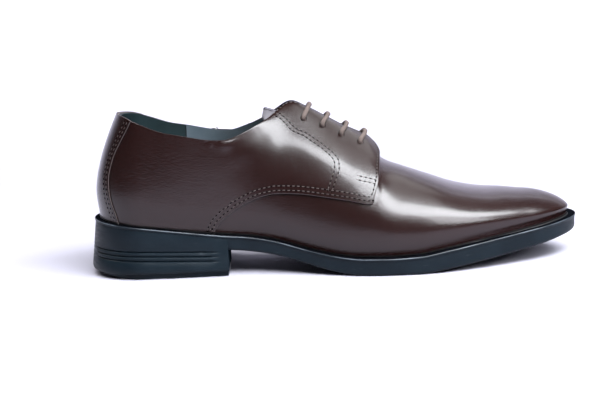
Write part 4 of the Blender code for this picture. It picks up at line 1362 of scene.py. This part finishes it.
def tube(name, line, radius, sides):
    """A round cord along a line, its UV running round and along it."""
    mesh = bmesh.new()
    layer = mesh.loops.layers.uv.new("UVMap")
    rings = []
    lengths = [0.0]
    normal = None
    for index, point in enumerate(line):
        before = line[max(index - 1, 0)]
        after = line[min(index + 1, len(line) - 1)]
        heading = (after - before).normalized()
        if normal is None:
            normal = heading.orthogonal().normalized()
        normal = (normal - heading * normal.dot(heading)).normalized()
        side = heading.cross(normal)
        rings.append([mesh.verts.new(point + (normal * math.cos(turn) + side * math.sin(turn))
                                     * radius)
                      for turn in (2.0 * math.pi * step / sides for step in range(sides))])
        if index:
            lengths.append(lengths[-1] + (point - before).length)
    for low in range(len(rings) - 1):
        for step in range(sides):
            after = (step + 1) % sides
            face = mesh.faces.new((rings[low][step], rings[low][after],
                                   rings[low + 1][after], rings[low + 1][step]))
            corners = ((step, low), (step + 1, low), (step + 1, low + 1), (step, low + 1))
            for loop, (turn, level) in zip(face.loops, corners):
                loop[layer].uv = (turn / sides * 4.0, lengths[level] / radius * 0.637)
    mesh.faces.new(rings[0][::-1])
    mesh.faces.new(rings[-1])
    bmesh.ops.recalc_face_normals(mesh, faces=mesh.faces)
    data = bpy.data.meshes.new(name)
    mesh.to_mesh(data)
    mesh.free()
    item = bpy.data.objects.new(name, data)
    bpy.context.scene.collection.objects.link(item)
    data.shade_smooth()
    return item


def build_lace_cord(material):
    """The lace through its eyelets."""
    cord = tube("lace_cord", smooth_line(lace_route(), steps=7), LACE_DIAMETER / 2, sides=16)
    finish(cord, [material], "lace")


# Sole

def build_sole_plate(rubbers):
    """The sole's plate with its lip, closed above and below along its middle."""
    lip = LIP_OVERHANG
    below = [    # inset from the rim, and height over the underside
        (None, 0.0), (INNER_RING, 0.0), (0.0045, 0.0), (lip + 0.0016, 0.0),
        (lip + 0.0007, 0.0004), (lip + 0.0001, 0.0013), (lip, 0.0022),
    ]
    above = [    # inset from the rim, and height over the top
        (lip, -LIP_DEPTH - 0.0022), (lip, -LIP_DEPTH - 0.0003), (lip * 0.8, -LIP_DEPTH),
        (lip * 0.2, -LIP_DEPTH + 0.0004), (0.0, -LIP_DEPTH + 0.0008), (0.0, -0.0006),
        (0.0003, -0.0001), (0.0009, 0.0), (0.0035, -0.0001), (INNER_RING, -0.0001),
        (None, -0.0001),
    ]
    profile = [(*step, sole_bottom) for step in below] + [(*step, sole_top) for step in above]

    def point(part, up):
        station = station_at(*round_toe(part, -HEEL_ARC))
        inset, lift, face_height = profile[round(up * (len(profile) - 1))]
        place = station.spine if inset is None else plan(station, inset)
        return Vector((place.x, place.y, face_height(place.x) + lift))

    plate = add_panel("sole_plate", point, across=len(profile) - 1, along=300)
    clean_mesh(plate)
    smooth(plate, 45.0)
    for _ in rubbers:
        plate.data.materials.append(None)
    # Painted shade: the ledge's flat top takes near-black rubber for the shade under the upper;
    # its rounded edge takes the pale streaked rubber, dust with a painted highlight
    for face in plate.data.polygons:
        below_top = sole_top(face.center.x) - face.center.z
        if below_top < LEDGE_DEPTH:
            face.material_index = 1 if face.normal.z > FLAT else 2
    finish(plate, rubbers, "sole_unit")


HeelLevel = namedtuple("HeelLevel", "drop inset groove height depth")


def heel_levels():
    """The heel's outline from top to floor: shares of its drop with insets, and between them
    the places across each groove, with their heights and depths as shares of its width."""
    levels = [HeelLevel(0.0, 0.0, None, 0.0, 0.0)]
    for groove in range(RIB_COUNT - 1, -1, -1):
        for step in range(GROOVE_STEPS + 1):
            part = step / GROOVE_STEPS
            depth = 0.5 - 0.5 * math.cos(2.0 * math.pi * part)
            levels.append(HeelLevel(None, 0.0, groove, 0.5 - part, depth))
    levels.append(HeelLevel(HEEL_FOOT, 0.0, None, 0.0, 0.0))
    for step in range(1, HEEL_FOOT_STEPS + 1):
        turn = math.pi / 2 * step / HEEL_FOOT_STEPS
        levels.append(HeelLevel(HEEL_FOOT + (1.0 - HEEL_FOOT) * math.sin(turn),
                                HEEL_FOOT_ROUNDING * (1.0 - math.cos(turn)), None, 0.0, 0.0))
    return levels


def breast_at(side):
    """Where the heel's breast meets a side: it is cut slightly askew, further forward on the
    outer side."""
    return BREAST_X + (BREAST_SKEW if side < 0 else 0.0)


def close_breast(item):
    """Closes a heel piece's open front with one face."""
    clean_mesh(item)
    take(item)
    bpy.ops.object.mode_set(mode="EDIT")
    bpy.ops.mesh.select_all(action="DESELECT")
    bpy.ops.mesh.select_mode(type="EDGE")
    bpy.ops.mesh.select_non_manifold()
    bpy.ops.mesh.edge_face_add()
    bpy.ops.mesh.select_all(action="SELECT")
    bpy.ops.mesh.normals_make_consistent(inside=False)
    bpy.ops.object.mode_set(mode="OBJECT")
    smooth(item, 45.0)


def build_heel(rubbers):
    """The heel block under the plate, with three grooves and a rounded foot."""
    levels = heel_levels()
    foot_height = TOP_PIECE_THICKNESS + CLEARANCE

    def point(part, up):
        start = breast_at(-1 if part <= 0.5 else 1)
        station = station_at(*round_heel(part, start))
        index = round(up * (len(levels) + 1))
        head = sole_top(station.rim.x) - LIP_DEPTH - LIP_OVERHANG * 0.4
        if index == 0:
            return Vector((station.spine.x, station.spine.y, head - SOLE_THICKNESS / 4))
        if index == len(levels) + 1:
            return Vector((station.spine.x, station.spine.y, foot_height))
        level = levels[index - 1]
        drop, inset = level.drop, level.inset
        if level.groove is not None:
            back = 1.0 - min(max(station.rim.x + HEEL_CENTRE, 0.0), HEEL_LENGTH) / HEEL_LENGTH
            height = (RIB_HEIGHT + level.groove * RIB_PITCH + RIB_RISE * back
                      + level.height * RIB_WIDTH)
            fade = min(max((start - station.rim.x) / RIB_STOP - 1.0, 0.0), 1.0)
            drop = (head - height) / (head - foot_height)
            inset = RIB_DEPTH * level.depth * fade
        place = plan(station, HEEL_SET_BACK - HEEL_FLARE * drop + inset)
        return Vector((min(place.x, start), place.y, head + (foot_height - head) * drop))

    heel = add_panel("heel_block", point, across=len(levels) + 1, along=150)
    close_breast(heel)
    for _ in rubbers:
        heel.data.materials.append(None)
    # Painted light: the breast takes a lighter copy of the rubber, so that it looks like the lit
    # side although it lies in shade
    for face in heel.data.polygons:
        if face.normal.x > FLAT:
            face.material_index = 1
    finish(heel, rubbers, "sole_unit")


def build_heel_wear_plate(material):
    """The wear plate under the heel, bevelled at the back."""
    chamfer = WEAR_PLATE_CHAMFER
    profile = [(None, 0.0), (INNER_RING / 2, 0.0), (TOP_PIECE_INSET + chamfer, 0.0),
               (TOP_PIECE_INSET + chamfer / 4, chamfer / 4), (TOP_PIECE_INSET, chamfer),
               (TOP_PIECE_INSET, TOP_PIECE_THICKNESS), (INNER_RING / 2, TOP_PIECE_THICKNESS),
               (None, TOP_PIECE_THICKNESS)]

    def point(part, up):
        end = breast_at(-1 if part <= 0.5 else 1) - CLEARANCE
        station = station_at(*round_heel(part, end))
        inset, height = profile[round(up * (len(profile) - 1))]
        place = station.spine
        if inset is not None:
            place = plan(station, inset - HEEL_FLARE + HEEL_SET_BACK)
        back = min(max((-place.x - REAR_BEVEL_START) / REAR_BEVEL_LENGTH, 0.0), 1.0)
        rise = (TOP_PIECE_THICKNESS - height) / TOP_PIECE_THICKNESS * REAR_BEVEL * back
        return Vector((place.x, place.y, height + rise))

    plate = add_panel("heel_wear_plate", point, across=len(profile) - 1, along=120)
    close_breast(plate)
    finish(plate, [material], "heel_top_piece")


# Floor, lights and camera

def add_camera():
    """The camera at the photograph's angle, its frame shifted as the photograph's is."""
    back = Vector((math.sin(CAMERA_TURN) * math.cos(CAMERA_HEIGHT),
                   -math.cos(CAMERA_TURN) * math.cos(CAMERA_HEIGHT), math.sin(CAMERA_HEIGHT)))
    right = back.cross(Vector((0.0, 0.0, -1.0))).normalized()
    up = back.cross(right)
    turned_right = right * math.cos(CAMERA_ROLL) - up * math.sin(CAMERA_ROLL)
    turned_up = up * math.cos(CAMERA_ROLL) + right * math.sin(CAMERA_ROLL)
    data = bpy.data.cameras.new("camera")
    data.lens = CAMERA_LENS
    data.sensor_width = SENSOR_WIDTH
    data.shift_x = (PHOTO_WIDTH / 2 - TARGET_PIXEL[0]) / PHOTO_WIDTH
    data.shift_y = (TARGET_PIXEL[1] - PHOTO_HEIGHT / 2) / PHOTO_WIDTH
    data.clip_start = 0.01
    camera = bpy.data.objects.new("camera", data)
    bpy.context.scene.collection.objects.link(camera)
    turn = Matrix((turned_right, turned_up, back)).transposed().to_4x4()
    turn.translation = CAMERA_TARGET + back * CAMERA_DISTANCE
    camera.matrix_world = turn
    bpy.context.scene.camera = camera


def add_floor():
    """A pale floor that curves up into a wall behind the shoe."""
    def point(part, up):
        length = up * (FLOOR_FRONT + FLOOR_BACK + BACKDROP_BEND * math.pi / 2 + BACKDROP_HEIGHT)
        place = length - FLOOR_FRONT
        turn = (place - FLOOR_BACK) / BACKDROP_BEND
        x = (part - 0.5) * BACKDROP_WIDTH
        if turn <= 0.0:
            return Vector((x, place, FLOOR_LEVEL))
        if turn < math.pi / 2:
            return Vector((x, FLOOR_BACK + BACKDROP_BEND * math.sin(turn),
                           FLOOR_LEVEL + BACKDROP_BEND * (1.0 - math.cos(turn))))
        return Vector((x, FLOOR_BACK + BACKDROP_BEND,
                       FLOOR_LEVEL + BACKDROP_BEND * (1.0 + turn - math.pi / 2)))

    floor = add_panel("floor", point, across=120, along=2)
    flip_if_needed(floor, lambda point: Vector((0.0, -1.0, 1.0)))
    smooth(floor)
    material, _, surface = new_material("pale_floor", (0.42, 0.41, 0.47), 0.9)
    surface.inputs["Specular IOR Level"].default_value = 0.1
    floor.data.materials.append(material)


def add_light(name, place, target, size, power, colour=(1.0, 1.0, 1.0)):
    """A soft box aimed at a point."""
    data = bpy.data.lights.new(name, "AREA")
    data.shape = "RECTANGLE"
    data.size, data.size_y = size
    data.energy = power
    data.color = colour
    light = bpy.data.objects.new(name, data)
    light.location = place
    aim = Vector(target) - Vector(place)
    light.rotation_euler = aim.to_track_quat("-Z", "Y").to_euler()
    bpy.context.scene.collection.objects.link(light)


def add_lights():
    """Soft boxes in front, overhead and on the left, small ones for instep and toe, and two for
    the backdrop."""
    world = bpy.data.worlds.new("studio")
    world.use_nodes = True
    background = world.node_tree.nodes["Background"]
    background.inputs["Color"].default_value = (0.95, 0.97, 1.0, 1.0)
    background.inputs["Strength"].default_value = 0.06
    bpy.context.scene.world = world
    bpy.context.scene.view_settings.view_transform = "Standard"
    add_light("key", (0.54, -0.60, 1.10), (0.12, -0.03, 0.05), (1.50, 0.50), 56.0,
              (0.93, 0.96, 1.0))
    add_light("overhead", (0.68, 0.08, 1.50), (0.11, 0.0, 0.08), (0.70, 0.50), 2.6)
    add_light("instep", (0.236, 0.112, 0.262), (0.110, -0.018, 0.083), (0.12, 0.09), 0.065)
    add_light("toe", (0.76, -0.70, 0.60), (0.18, -0.04, 0.03), (0.50, 0.40), 8.0,
              (0.93, 0.96, 1.0))
    add_light("left", (-0.80, 0.30, 1.25), (-0.80, 0.30, 0.0), (0.8, 0.8), 15.0)
    add_light("backdrop", (-0.10, 1.10, 0.95), (-0.10, 1.75, 0.05), (5.0, 0.3), 62.0,
              (0.92, 0.93, 1.0))
    add_light("wall", (0.12, 1.00, 1.30), (0.12, 2.10, 0.95), (5.0, 0.4), 34.0,
              (0.92, 0.93, 1.0))


# The whole shoe

def build_all():
    """Every piece of the shoe with its material."""
    calf = leather_material()
    lining = lining_material()
    rubber = sole_material()
    # The pale edge is partly the cut edge's own lighter colour and partly a painted highlight:
    # the thin light line along collar, backstay and quarter edges
    pale_edge_and_highlight = edge_material("cut_edge_and_highlight", (0.045, 0.036, 0.035), (0.095, 0.078, 0.077))
    dark_edge = edge_material("dyed_edge", (0.004, 0.003, 0.003), (0.010, 0.007, 0.007))
    thread = thread_material("brown_thread", (0.066, 0.053, 0.051), 0.35)
    # Near-black marks: painted shade of the needle holes
    mark = thread_material("needle_hole_shade", (0.0022, 0.0016, 0.0016), 0.0)

    for name, side in (("quarter_outer", -1), ("quarter_inner", 1)):
        build_quarter(name, side, [calf, pale_edge_and_highlight, dark_edge])
    build_vamp(calf)
    build_lining(lining)
    strip_edges = {side: [backstay_reach(side, step / BACKSTAY_STEPS)
                          for step in range(BACKSTAY_STEPS + 1)] for side in (-1, 1)}
    build_backstay([calf, pale_edge_and_highlight], strip_edges)
    build_tongue(tongue_material(), calf)
    build_lace_cord(lace_material())
    # The ledge's near-black rubber is painted shade
    build_sole_plate([rubber, dull_rubber_material("ledge_shade_rubber", (0.0030, 0.0036, 0.0050)),
                      lip_wear_and_highlight_material()])
    build_heel([rubber, dull_rubber_material("breast_lit_rubber", (0.014, 0.022, 0.029))])
    build_heel_wear_plate(rubber)
    sew_upper(thread, mark, strip_edges)
    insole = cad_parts["insole"]
    insole.data.materials.clear()
    insole.data.materials.append(lining)


build_all()
add_floor()
add_lights()
add_camera()
